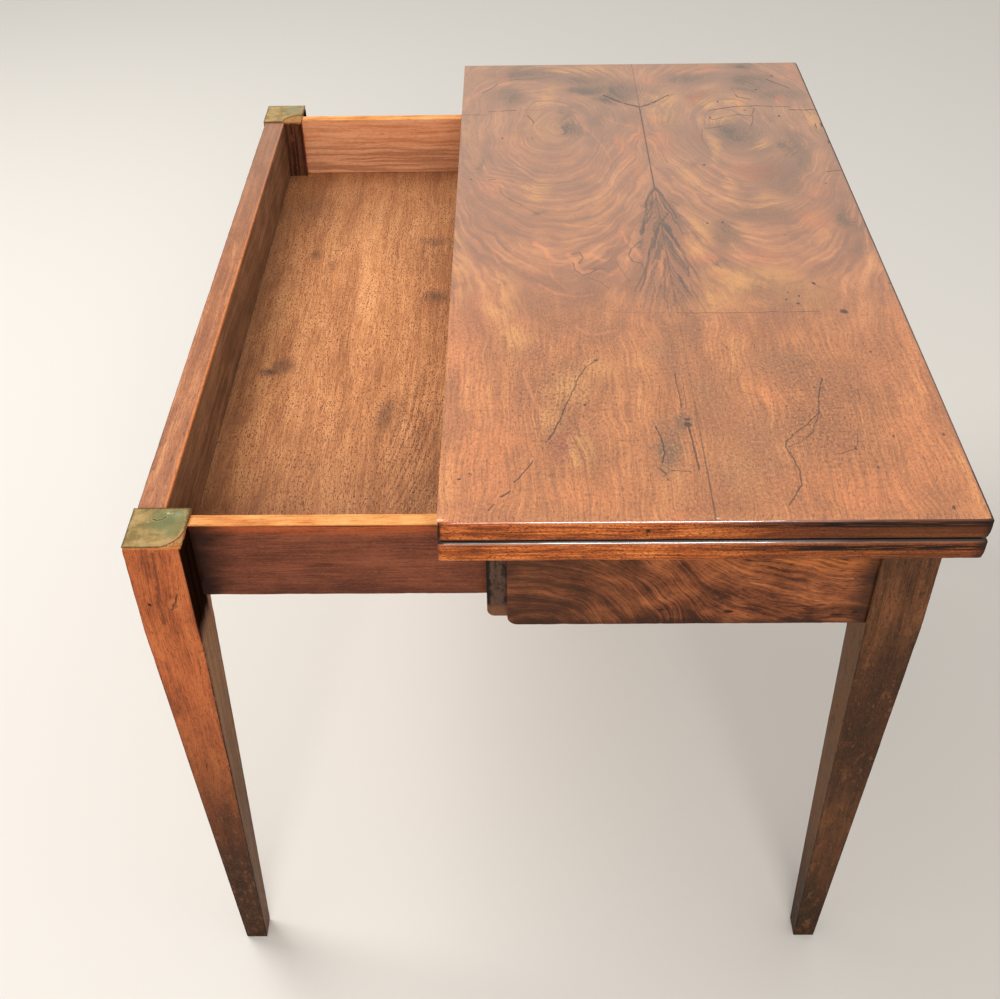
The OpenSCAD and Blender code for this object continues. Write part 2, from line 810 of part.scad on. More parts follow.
leg_front_right();
leg_back_right();
rail_front();
rail_back();
rail_right();
ledge_front();
ledge_back();
cross_rail();
glue_blocks();
block_screws();
rail_screws();
ledge_screws();
leaf_lower_core();
leaf_lower_cleat_front();
leaf_lower_cleat_back();
leaf_lower_baize();
hinge_plates_lower();
hinge_pins();
hinge_screws_lower();
leg_front_left();
leg_back_left();
pad_front();
pad_back();
slide_rail_front();
slide_rail_back();
rail_left();
tray_floor();
tray_end_rail();
tray_nails();
leaf_upper_core();
leaf_upper_cleat_front();
leaf_upper_cleat_back();
veneer_left();
veneer_right();
leaf_upper_baize();
hinge_plates_upper();
hinge_screws_upper();
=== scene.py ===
"""Looks of an extending game table: worn woods, rubbed baize, old brass, and a plain studio."""

import json
import math

import bmesh
import bpy
from mathutils import Matrix, Vector, noise

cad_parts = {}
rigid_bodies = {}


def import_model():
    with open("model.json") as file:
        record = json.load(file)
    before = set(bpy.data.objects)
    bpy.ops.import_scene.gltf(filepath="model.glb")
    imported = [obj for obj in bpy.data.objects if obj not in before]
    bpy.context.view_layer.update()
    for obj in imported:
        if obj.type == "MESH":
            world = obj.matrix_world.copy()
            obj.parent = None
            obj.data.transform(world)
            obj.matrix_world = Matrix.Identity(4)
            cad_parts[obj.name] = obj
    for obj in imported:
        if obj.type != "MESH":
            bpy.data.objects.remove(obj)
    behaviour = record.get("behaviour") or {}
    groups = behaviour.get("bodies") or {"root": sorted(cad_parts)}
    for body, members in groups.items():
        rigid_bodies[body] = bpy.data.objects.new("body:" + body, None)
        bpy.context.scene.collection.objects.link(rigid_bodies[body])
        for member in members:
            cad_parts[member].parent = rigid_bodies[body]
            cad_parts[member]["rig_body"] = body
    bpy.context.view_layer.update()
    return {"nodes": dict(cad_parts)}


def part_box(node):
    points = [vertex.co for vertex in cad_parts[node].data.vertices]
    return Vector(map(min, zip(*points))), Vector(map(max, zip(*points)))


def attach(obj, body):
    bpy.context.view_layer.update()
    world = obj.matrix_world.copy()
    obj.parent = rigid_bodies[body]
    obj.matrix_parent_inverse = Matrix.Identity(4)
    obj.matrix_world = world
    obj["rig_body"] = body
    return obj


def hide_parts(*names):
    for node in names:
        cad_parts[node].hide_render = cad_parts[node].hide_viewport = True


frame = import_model()
NODES = frame["nodes"]

MM = 0.001

# Places that come from the frame, in metres
SEAM_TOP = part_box("veneer_left")[1]
CLEAT_LOW, CLEAT_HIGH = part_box("leaf_upper_cleat_front")
LOWER_LOW, LOWER_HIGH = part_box("leaf_lower_cleat_front")
X_HINGE = CLEAT_LOW.x
X_SEAM = SEAM_TOP.x
X_EDGE = CLEAT_HIGH.x
Y_FRONT = CLEAT_LOW.y
LEAF_WIDTH = X_EDGE - X_HINGE
LEAF_LENGTH = -2 * Y_FRONT
UPPER_BOX = (Vector((X_HINGE, Y_FRONT, CLEAT_LOW.z)), Vector((X_EDGE, -Y_FRONT, SEAM_TOP.z)))
LOWER_BOX = (Vector((X_HINGE, Y_FRONT, LOWER_LOW.z)), Vector((X_EDGE, -Y_FRONT, LOWER_HIGH.z)))

# Height at which the leaves meet, in millimetres
FOLD = (UPPER_BOX[0].z + LOWER_BOX[1].z) / 2 / MM

# The photograph's camera, solved from the table's own edges
CAMERA_PLACE = (-0.0309, -1.3568, 1.5241)
CAMERA_YAW = 0.8313
CAMERA_PITCH = 40.9732
CAMERA_ROLL = 0.9175
CAMERA_LENS = 45.732
SENSOR_WIDTH = 36.0
FAR_CLIP = 60

# The plain floor's radius, in metres
FLOOR_RADIUS = 14

# Size of the fine grains of old wax, in millimetres
GRIT_SIZE = 1.2


def make_camera():
    """Stands where the photographer stood, and looks the same way."""
    data = bpy.data.cameras.new("camera")
    data.lens = CAMERA_LENS
    data.sensor_width = SENSOR_WIDTH
    data.clip_end = FAR_CLIP
    camera = bpy.data.objects.new("camera", data)
    bpy.context.scene.collection.objects.link(camera)
    turn = (
        Matrix.Rotation(math.radians(CAMERA_YAW), 4, "Z")
        @ Matrix.Rotation(math.radians(-CAMERA_PITCH), 4, "X")
        @ Matrix.Rotation(math.radians(CAMERA_ROLL), 4, "Y")
        @ Matrix.Rotation(math.radians(90), 4, "X")
    )
    camera.matrix_world = Matrix.Translation(CAMERA_PLACE) @ turn
    bpy.context.scene.camera = camera


def srgb(red, green, blue):
    """A colour as the eye sees it on a screen, 0 to 255, made linear."""
    return tuple(((c / 255 + 0.055) / 1.055) ** 2.4 for c in (red, green, blue)) + (1.0,)


def linear(colour):
    """A written colour made linear. One that a material works out stays as it is."""
    return srgb(*colour) if isinstance(colour, tuple) else colour


class Value:
    """A number or a vector that a material works out at each point of a surface."""

    def __init__(self, graph, socket):
        self.graph = graph
        self.socket = socket

    def __add__(self, other):
        return self.graph.math("ADD", self, other)

    __radd__ = __add__

    def __mul__(self, other):
        return self.graph.math("MULTIPLY", self, other)

    __rmul__ = __mul__

    def __sub__(self, other):
        return self.graph.math("SUBTRACT", self, other)

    def __rsub__(self, other):
        return self.graph.math("SUBTRACT", other, self)

    def __truediv__(self, other):
        return self.graph.math("DIVIDE", self, other)

    def __abs__(self):
        return self.graph.math("ABSOLUTE", self)

    def swing(self, width):
        """For a noise from 0 to 1: so far to either side, over this width in all."""
        return (self - 0.5) * width

    def rise(self, start, end):
        """0 below start, 1 above end, and smooth between them. It falls where end is the lower one."""
        made = self.graph.node("ShaderNodeMapRange")
        made.interpolation_type = "SMOOTHSTEP"
        made.clamp = False
        for name, value in (("Value", self), ("From Min", start), ("From Max", end)):
            self.graph.feed(made.inputs[name], value)
        return Value(self.graph, made.outputs[0])


class Graph:
    """Turns formulas into the nodes of one tree."""

    def __init__(self, tree):
        self.tree = tree

    def node(self, kind, operation=None):
        made = self.tree.nodes.new(kind)
        if operation:
            made.operation = operation
        return made

    def feed(self, socket, value):
        if isinstance(value, Value):
            self.tree.links.new(value.socket, socket)
        elif value is not None:
            socket.default_value = value

    def math(self, operation, first, second=None):
        made = self.node("ShaderNodeMath", operation)
        for socket, value in zip(made.inputs, (first, second)):
            self.feed(socket, value)
        return Value(self, made.outputs[0])

    def low(self, first, second):
        """The smaller of two numbers. The first one may be missing."""
        return second if first is None else self.math("MINIMUM", first, second)

    def high(self, first, second):
        """The larger of two numbers. The first one may be missing."""
        return second if first is None else self.math("MAXIMUM", first, second)

    def place(self, x, y=0.0, z=0.0):
        """A vector from three numbers."""
        made = self.node("ShaderNodeCombineXYZ")
        for socket, value in zip(made.inputs, (x, y, z)):
            self.feed(socket, value)
        return Value(self, made.outputs[0])

    def vector(self, operation, first, second, output=0):
        made = self.node("ShaderNodeVectorMath", operation)
        self.feed(made.inputs[0], first)
        self.feed(made.inputs[1], second)
        return Value(self, made.outputs[output])

    def noise_node(self, x, y, z, detail, roughness):
        made = self.node("ShaderNodeTexNoise")
        self.feed(made.inputs["Vector"], self.place(x, y, z))
        for name, value in (("Scale", 1.0), ("Detail", detail), ("Roughness", roughness)):
            made.inputs[name].default_value = value
        return made

    def noise(self, x, y=0.0, z=0.0, detail=2.0, roughness=0.5):
        """Smooth noise from 0 to 1 whose patches are about one unit of its coordinates wide."""
        return Value(self, self.noise_node(x, y, z, detail, roughness).outputs[0])

    def noises(self, x, y, z, detail=2.0, roughness=0.5):
        """Three noises at once, each from 0 to 1."""
        made = self.noise_node(x, y, z, detail, roughness)
        split = self.node("ShaderNodeSeparateColor")
        self.feed(split.inputs[0], Value(self, made.outputs["Color"]))
        return [Value(self, socket) for socket in split.outputs]

    def mix(self, share, first, second):
        """A colour between two colours."""
        made = self.node("ShaderNodeMix")
        made.data_type = "RGBA"
        for index, value in ((0, share), (6, linear(first)), (7, linear(second))):
            self.feed(made.inputs[index], value)
        return Value(self, made.outputs[2])

    def between(self, share, first, second):
        """A number between two numbers."""
        return first + share * (second - first)

    def ramp(self, value, start, end, *stops):
        """A colour from a number between start and end. A stop is a place from 0 to 1 and its colour."""
        share = value.rise(start, end)
        made = self.node("ShaderNodeValToRGB")
        self.feed(made.inputs[0], share)
        elements = made.color_ramp.elements
        while len(elements) < len(stops):
            elements.new(0.5)
        for element, (position, *colour) in zip(elements, stops):
            element.position = position
            element.color = srgb(*colour)
        return Value(self, made.outputs[0])

    def use(self, group, *values):
        """The result of a group for these values."""
        made = self.node("ShaderNodeGroup")
        made.node_tree = group
        for socket, value in zip(made.inputs, values):
            self.feed(socket, value)
        return Value(self, made.outputs[0])

    def spot(self, at, centre, radii, soft=0.6):
        """1 in the middle of an oval and 0 outside it. At and centre are vectors."""
        return self.use(OVAL, at, (*centre, 0.0), (1 / radii[0], 1 / radii[1], 0.0), 1.0 - soft)

    def line(self, at, points):
        """Distance to a line through a few points."""
        nearest = None
        for start, end in zip(points, points[1:]):
            run = Vector((*end, 0)) - Vector((*start, 0))
            gap = self.use(SEGMENT, at, (*start, 0.0), tuple(run), tuple(run / run.length_squared))
            nearest = self.low(nearest, gap)
        return nearest

    def arris(self, low, high):
        """Distance in millimetres from the nearest edge of a box, on the box's surface."""
        gaps = []
        for value, start, end in zip(self.at, low, high):
            gaps.append(self.low(abs(value - start / MM), abs(end / MM - value)))
        least = self.low(gaps[0], gaps[1])
        most = self.high(gaps[0], gaps[1])
        return self.high(least, self.low(most, gaps[2]))


def make_group(name, kinds, formula):
    """A node group whose inputs have these kinds and whose output is the formula's number."""
    tree = bpy.data.node_groups.new(name, "ShaderNodeTree")
    for index, kind in enumerate(kinds):
        tree.interface.new_socket(f"in_{index}", in_out="INPUT", socket_type=f"NodeSocket{kind}")
    tree.interface.new_socket("out", in_out="OUTPUT", socket_type="NodeSocketFloat")
    graph = Graph(tree)
    entry = graph.node("NodeGroupInput")
    leave = graph.node("NodeGroupOutput")
    values = [Value(graph, socket) for socket in entry.outputs[:len(kinds)]]
    graph.feed(leave.inputs[0], formula(graph, *values))
    return tree


def segment_gap(graph, at, start, run, scaled_run):
    """Distance from a place to a straight piece of a line."""
    away = graph.vector("SUBTRACT", at, start)
    along = graph.vector("DOT_PRODUCT", away, scaled_run, output=1)
    share = graph.node("ShaderNodeClamp")
    graph.feed(share.inputs["Value"], along)
    foot = graph.node("ShaderNodeVectorMath", "SCALE")
    graph.feed(foot.inputs[0], run)
    graph.feed(foot.inputs["Scale"], Value(graph, share.outputs[0]))
    return graph.vector("DISTANCE", away, Value(graph, foot.outputs[0]), output=1)


def oval_share(graph, at, centre, scale, core):
    """1 in the core of an oval, and smoothly less out to its edge."""
    scaled = graph.vector("MULTIPLY", graph.vector("SUBTRACT", at, centre), scale)
    return graph.vector("LENGTH", scaled, None, output=1).rise(1.0, core)


SEGMENT = make_group("segment", ("Vector", "Vector", "Vector", "Vector"), segment_gap)
OVAL = make_group("oval", ("Vector", "Vector", "Vector", "Float"), oval_share)


class Surface(Graph):
    """One material. Its x, y and z are the row frame's, in millimetres, and move with the piece."""

    def __init__(self, name, **sockets):
        self.material = bpy.data.materials.new(name)
        self.material.use_nodes = True
        super().__init__(self.material.node_tree)
        self.tree.nodes.clear()
        self.shader = self.node("ShaderNodeBsdfPrincipled")
        output = self.node("ShaderNodeOutputMaterial")
        self.tree.links.new(self.shader.outputs[0], output.inputs["Surface"])
        for socket, value in sockets.items():
            self.shader.inputs[socket.replace("_", " ")].default_value = value
        coordinates = self.node("ShaderNodeTexCoord")
        scaled = self.node("ShaderNodeVectorMath", "MULTIPLY")
        self.feed(scaled.inputs[0], Value(self, coordinates.outputs["Object"]))
        scaled.inputs[1].default_value = (1 / MM, 1 / MM, 1 / MM)
        split = self.node("ShaderNodeSeparateXYZ")
        self.feed(split.inputs[0], Value(self, scaled.outputs[0]))
        self.at = [Value(self, socket) for socket in split.outputs]
        self.x, self.y, self.z = self.at
        self.colour = None

    def paint(self, share, colour):
        """A coat of one more colour over the colour so far."""
        self.colour = self.mix(share, self.colour, colour)

    def grit(self, amount, stretch, pale=(206, 138, 88)):
        """Fine dark and pale grains, as old wax and open pores leave them."""
        x, y, z = (value / (GRIT_SIZE * factor) for value, factor in zip(self.at, stretch))
        fine = self.noise(x, y, z, 2, 0.7)
        self.paint(fine.rise(0.54, 0.70) * amount, (46, 26, 17))
        self.paint(fine.rise(0.46, 0.30) * (amount * 0.6), pale)

    def finish(self, roughness, height, depth):
        """Links the colour, the roughness and the height of the surface, whose depth is in millimetres."""
        self.feed(self.shader.inputs["Base Color"], self.colour)
        self.feed(self.shader.inputs["Roughness"], roughness)
        bump = self.node("ShaderNodeBump")
        bump.inputs["Strength"].default_value = 1.0
        bump.inputs["Distance"].default_value = depth * MM
        self.feed(bump.inputs["Height"], height)
        self.feed(self.shader.inputs["Normal"], Value(self, bump.outputs[0]))
        return self.material


class Grain:
    """The noises of straight-grained wood that runs along one axis."""

    def __init__(self, graph, along, seed=0.0, sway=18.0, band=9.0, fine=1.5, pore=(0.7, 8.0)):
        x, y, z = graph.at
        first, second, self.length = {"X": (y, z, x), "Y": (x, z, y), "Z": (x, y, z)}[along]
        bend = graph.noises(self.length / 170, (first + seed) / 70, second / 70, 1)
        self.across = first + seed + bend[0].swing(sway)
        self.side = second + bend[1].swing(sway)
        self.broad = graph.noise(self.across / (band * 3), self.side / (band * 3), self.length / 380, 2)
        self.bands = graph.noise(self.across / band, self.side / band, self.length / 230, 3, 0.62)
        self.fine = graph.noise(self.across / fine, self.side / fine, self.length / 45, 2, 0.6)
        pores = graph.noise(self.across / pore[0], self.side / pore[0], self.length / pore[1], 1)
        self.pores = pores.rise(0.57, 0.70)
        self.mottle = graph.noise(first / 26 + seed, second / 26, self.length / 60, 4, 0.62)


# Worn pieces: each is a copy of a node's own mesh with real rounded, dented arrises

def new_object(name, mesh):
    """An object in the scene."""
    made = bpy.data.objects.new(name, mesh)
    bpy.context.scene.collection.objects.link(made)
    return made


def slice_mesh(bm, axis, pitch, extra=()):
    """Cuts every face at a pitch along one axis, and at some more places."""
    values = [v.co[axis] for v in bm.verts]
    low, high = min(values), max(values)
    count = int((high - low) / (pitch * MM))
    places = [low + (high - low) * i / (count + 1) for i in range(1, count + 1)]
    normal = Vector((0, 0, 0))
    normal[axis] = 1
    for place in sorted(places + [e for e in extra if low < e < high]):
        point = normal * place
        everything = bm.verts[:] + bm.edges[:] + bm.faces[:]
        bmesh.ops.bisect_plane(bm, geom=everything, dist=1e-6, plane_co=point, plane_no=normal)


def on_plane(edge, planes):
    """True if the edge lies in one of these planes, each an axis and a place on it."""
    return any(all(abs(v.co[axis] - value) < 2e-5 for v in edge.verts) for axis, value in planes)


def round_edges(bm, width, shortest, skip):
    """Rounds the long outer edges, apart from those that lie in one of the planes to skip."""
    chosen = []
    for edge in bm.edges:
        if len(edge.link_faces) != 2 or edge.calc_length() < shortest * MM:
            continue
        if edge.calc_face_angle_signed(0) < math.radians(50) or on_plane(edge, skip):
            continue
        chosen.append(edge)
    if chosen:
        bmesh.ops.bevel(bm, geom=chosen, offset=width * MM, offset_type="OFFSET", segments=3,
                        profile=0.5, affect="EDGES", clamp_overlap=True)


def wear_down(bm, box, reach, dents, waves, seed, spots=()):
    """Takes wood away near the arrises of a box, a little everywhere, and more at some spots."""
    low, high = box
    reach_m = reach * MM
    shift = Vector((seed, seed * 0.7, -seed))
    inner_low = [a + min(reach_m, (b - a) / 2) for a, b in zip(low, high)]
    inner_high = [b - min(reach_m, (b - a) / 2) for a, b in zip(low, high)]
    for vertex in bm.verts:
        inside = Vector([min(max(c, a), b) for c, a, b in zip(vertex.co, inner_low, inner_high)])
        out = vertex.co - inside
        if out.length < 1e-7:
            continue
        cornered = sorted(min(1.0, abs(c) / reach_m) for c in out)[1]
        place = vertex.co / MM
        ding = max(0.0, noise.noise(place / 17 + shift)) + max(0.0, noise.noise(place / 5.5 - shift)) * 0.7
        wave = noise.noise(place / 70 + shift * 2) * 0.5 + 0.5
        depth = dents * cornered * (0.25 + ding) + waves * wave
        for centre, radius, deep in spots:
            near = (vertex.co - Vector(centre)).length / (radius * MM)
            if near < 1:
                depth += deep * (1 - near * near) ** 2
        vertex.co -= out.normalized() * depth * MM


def blunt(bm, corner):
    """Rounds a corner all along a piece: two axes, a place and an inward sign on each, and a radius."""
    (a, place_a, into_a), (b, place_b, into_b), radius = corner
    normal = {0: Vector((1, 0, 0)), 1: Vector((0, 1, 0)), 2: Vector((0, 0, 1))}
    for axis, place, into in ((a, place_a, into_a), (b, place_b, into_b)):
        for step in range(1, 7):
            depth = radius * (1 - math.cos(step * math.pi / 12))
            everything = bm.verts[:] + bm.edges[:] + bm.faces[:]
            bmesh.ops.bisect_plane(bm, geom=everything, dist=1e-6, plane_no=normal[axis],
                                   plane_co=normal[axis] * (place + into * depth))
    for vertex in bm.verts:
        from_a = (vertex.co[a] - place_a) * into_a
        from_b = (vertex.co[b] - place_b) * into_b
        if min(from_a, from_b) < -1e-6 or max(from_a, from_b) > radius:
            continue
        far = math.hypot(radius - from_a, radius - from_b)
        if far > radius:
            vertex.co[a] = place_a + into_a * (radius - (radius - from_a) * radius / far)
            vertex.co[b] = place_b + into_b * (radius - (radius - from_b) * radius / far)


def worn_piece(node, pitch, box=None, bevel=0.0, shortest=20.0, skip=(), reach=4.0, dents=0.35,
               waves=0.1, seed=0.0, spots=(), extra=((), (), ()), corners=()):
    """A copy of a node with rounded and worn arrises, which stands for the node and rides with it."""
    bm = bmesh.new()
    bm.from_mesh(NODES[node].data)
    bmesh.ops.remove_doubles(bm, verts=bm.verts, dist=1e-6)
    bmesh.ops.dissolve_limit(bm, angle_limit=math.radians(0.4), verts=bm.verts, edges=bm.edges)
    if bevel:
        round_edges(bm, bevel, shortest, skip)
    for axis in range(3):
        if pitch[axis]:
            slice_mesh(bm, axis, pitch[axis], extra[axis])
    for corner in corners:
        blunt(bm, corner)
    wear_down(bm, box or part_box(node), reach, dents, waves, seed, spots)
    bmesh.ops.recalc_face_normals(bm, faces=bm.faces)
    mesh = bpy.data.meshes.new(node + "_worn")
    bm.to_mesh(mesh)
    bm.free()
    mesh.polygons.foreach_set("use_smooth", [True] * len(mesh.polygons))
    mesh.set_sharp_from_angle(angle=math.radians(52))
    made = new_object(node + "_worn", mesh)
    even = made.modifiers.new("even", "WEIGHTED_NORMAL")
    even.keep_sharp = True
    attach(made, NODES[node]["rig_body"])
    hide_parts(node)
    return made


def dress(piece, material):
    """Gives a piece its one material."""
    piece.data.materials.clear()
    piece.data.materials.append(material)


# Materials

# Marks of the top, in millimetres from the hinged edge and from the front end
# Cracks: half width, darkness, and the points' places in pairs
TOP_CRACKS = [
    (0.9, 0.7, 0, 852, 34, 851), (1, 0.8, 38, 861, 75, 865), (0.9, 0.4, 82, 866, 125, 865),
    (1, 1, 347, 859, 369, 866, 384, 871, 416, 872), (1, 0.9, 416, 872, 462, 867),
    (1.2, 1, 458, 859, 480, 857, 497, 859), (1.7, 1, 203, 912, 219, 894, 236, 880, 250, 872),
    (1.8, 1, 250, 872, 262, 879, 275, 890), (1.2, 1, 275, 890, 284, 900, 294, 912),
    (0.9, 0.8, 28, 925, 41, 940, 50, 956), (0.9, 0.7, 67, 969, 82, 973, 100, 974),
    (1, 0.9, 442, 964, 450, 953, 460, 944, 470, 931), (0.7, 0.6, 400, 975, 425, 971),
    (0.8, 0.9, 92, 848, 97, 836, 101, 822), (0.7, 0.7, 411, 866, 405, 846, 402, 822, 394, 794),
    (0.8, 0.9, 344, 831, 350, 829, 369, 838, 385, 845, 402, 839), (0.8, 0.8, 333, 801, 345, 802, 356, 807),
    (1, 0.9, 391, 909, 393, 902, 409, 894), (0.6, 0.6, 422, 847, 428, 819),
    (0.5, 0.6, 388, 934, 390, 918, 391, 905), (0.8, 0.9, 475, 670, 482, 672, 494, 674),
    (0.8, 0.9, 40, 656, 48, 656), (0.6, 0.5, 330, 800, 326, 770, 331, 740),
    (0.7, 0.9, 156, 250, 146, 240, 137, 222, 132, 204, 127, 188, 121, 170),
    (0.8, 1, 121, 170, 115, 148, 108, 128, 100, 113), (0.8, 0.9, 88, 86, 80, 70, 70, 55),
    (1, 1, 66, 42, 58, 34), (0.8, 0.8, 52, 24, 46, 16),
    (0.7, 0.9, 384, 215, 378, 196, 374, 180, 370, 158, 358, 143, 340, 124, 331, 113),
    (0.7, 0.9, 331, 113, 328, 104, 333, 88, 336, 69, 334, 50, 326, 33, 318, 20),
    (0.5, 0.8, 331, 104, 345, 113, 358, 126, 371, 160), (0.6, 0.7, 403, 132, 399, 112, 394, 100, 372, 92),
    (0.5, 0.7, 416, 197, 415, 180), (0.9, 1, 240, 142, 241, 118, 242, 92, 243, 72),
    (0.8, 1, 208, 138, 212, 118, 213, 96, 209, 82), (0.8, 0.9, 206, 74, 211, 66, 212, 56),
    (0.7, 0.8, 217, 71, 235, 69), (0.5, 0.6, 166, 116, 191, 116), (0.6, 0.9, 235, 226, 236, 200, 236, 168),
    (0.5, 0.6, 242, 215, 241, 165), (0.6, 0.75, 250, 340, 300, 339, 352, 340, 404, 340),
    (0.5, 0.4, 180, 341, 250, 340), (0.6, 0.5, 370, 241, 384, 241),
    (0.6, 0.6, 53, 624, 70, 600, 88, 580, 101, 566), (0.6, 0.5, 290, 282, 308, 246, 330, 226),
    (0.5, 0.5, 290, 196, 312, 188), (0.6, 0.6, 238, 372, 241, 360, 240, 348),
]
# Dark outlines of the flame and of the curl beside it
TOP_OUTLINES = [
    (1.2, 1, 250, 628, 242, 611, 237, 596, 235, 580, 236, 571),
    (1.3, 1, 251, 630, 257, 612, 262, 590, 267, 570, 270, 552),
    (0.8, 0.8, 249, 602, 244, 585, 241, 566, 235, 545), (1, 0.8, 252, 545, 257, 556, 262, 566),
    (1, 0.9, 234, 573, 233, 560, 229, 540, 226, 515), (1.1, 0.9, 248, 540, 243, 520, 240, 500, 236, 480),
    (1.1, 0.9, 248, 540, 256, 520, 262, 500), (0.9, 0.9, 222, 496, 210, 480, 205, 462, 209, 450, 218, 446),
    (0.9, 0.7, 219, 448, 221, 430, 215, 410, 206, 384), (0.8, 0.7, 230, 470, 224, 440, 222, 415, 212, 385),
    (0.9, 0.8, 262, 500, 268, 470, 272, 440, 270, 415), (0.8, 0.8, 258, 420, 262, 400, 266, 382),
    (1, 0.8, 247, 455, 243, 425, 242, 400, 238, 372), (1, 0.8, 139, 466, 148, 472, 152, 459, 147, 446),
    (0.9, 0.9, 139, 448, 142, 430, 150, 420, 159, 424, 166, 432), (0.8, 0.8, 158, 432, 166, 436, 176, 434),
    (0.7, 0.6, 155, 416, 170, 405, 178, 390), (0.6, 0.6, 190, 450, 196, 425, 203, 405),
    (0.6, 0.6, 176, 346, 185, 343, 200, 352), (0.8, 0.6, 300, 452, 306, 440, 310, 432),
    (0.7, 0.7, 344, 394, 352, 388, 362, 380), (0.7, 0.7, 406, 402, 410, 394, 414, 390),
]
# Pale streaks: half width, strength, points
TOP_STREAKS = [
    (2.6, 1, 96, 494, 108, 478, 112, 462, 122, 452, 135, 452),
    (3.4, 1, 135, 466, 141, 452, 142, 436, 150, 424, 160, 428), (2.2, 0.8, 160, 470, 168, 458, 176, 452),
    (2, 0.6, 160, 428, 172, 428, 182, 420), (1.2, 0.7, 131, 542, 142, 535, 160, 531, 187, 535),
    (1.6, 0.6, 100, 400, 118, 382, 140, 374, 158, 378), (1.4, 0.5, 112, 440, 116, 414, 130, 390),
    (2, 0.7, 201, 520, 204, 500, 210, 486, 216, 470, 219, 456),
    (1.6, 0.7, 246, 474, 243, 455, 240, 430, 239, 400), (2.2, 0.8, 240, 450, 242, 420, 244, 395),
    (1.2, 0.6, 236, 452, 226, 425, 220, 400, 212, 372), (1.8, 0.6, 136, 316, 146, 302, 158, 298, 180, 306),
    (1.5, 0.5, 156, 850, 166, 815, 178, 790), (1.4, 0.5, 178, 790, 188, 760, 196, 730, 200, 700),
    (2, 0.5, 200, 836, 214, 820, 232, 812), (3.2, 0.6, 8, 900, 24, 930, 48, 952, 78, 962, 104, 962),
    (2, 0.5, 312, 690, 325, 668, 340, 640, 352, 624), (2.2, 0.6, 330, 690, 346, 662, 352, 630),
    (1.8, 0.5, 276, 660, 284, 640, 300, 618, 318, 610), (1.6, 0.7, 80, 228, 88, 190, 97, 158),
    (1.3, 0.5, 48, 470, 60, 420, 74, 376, 84, 340),
]
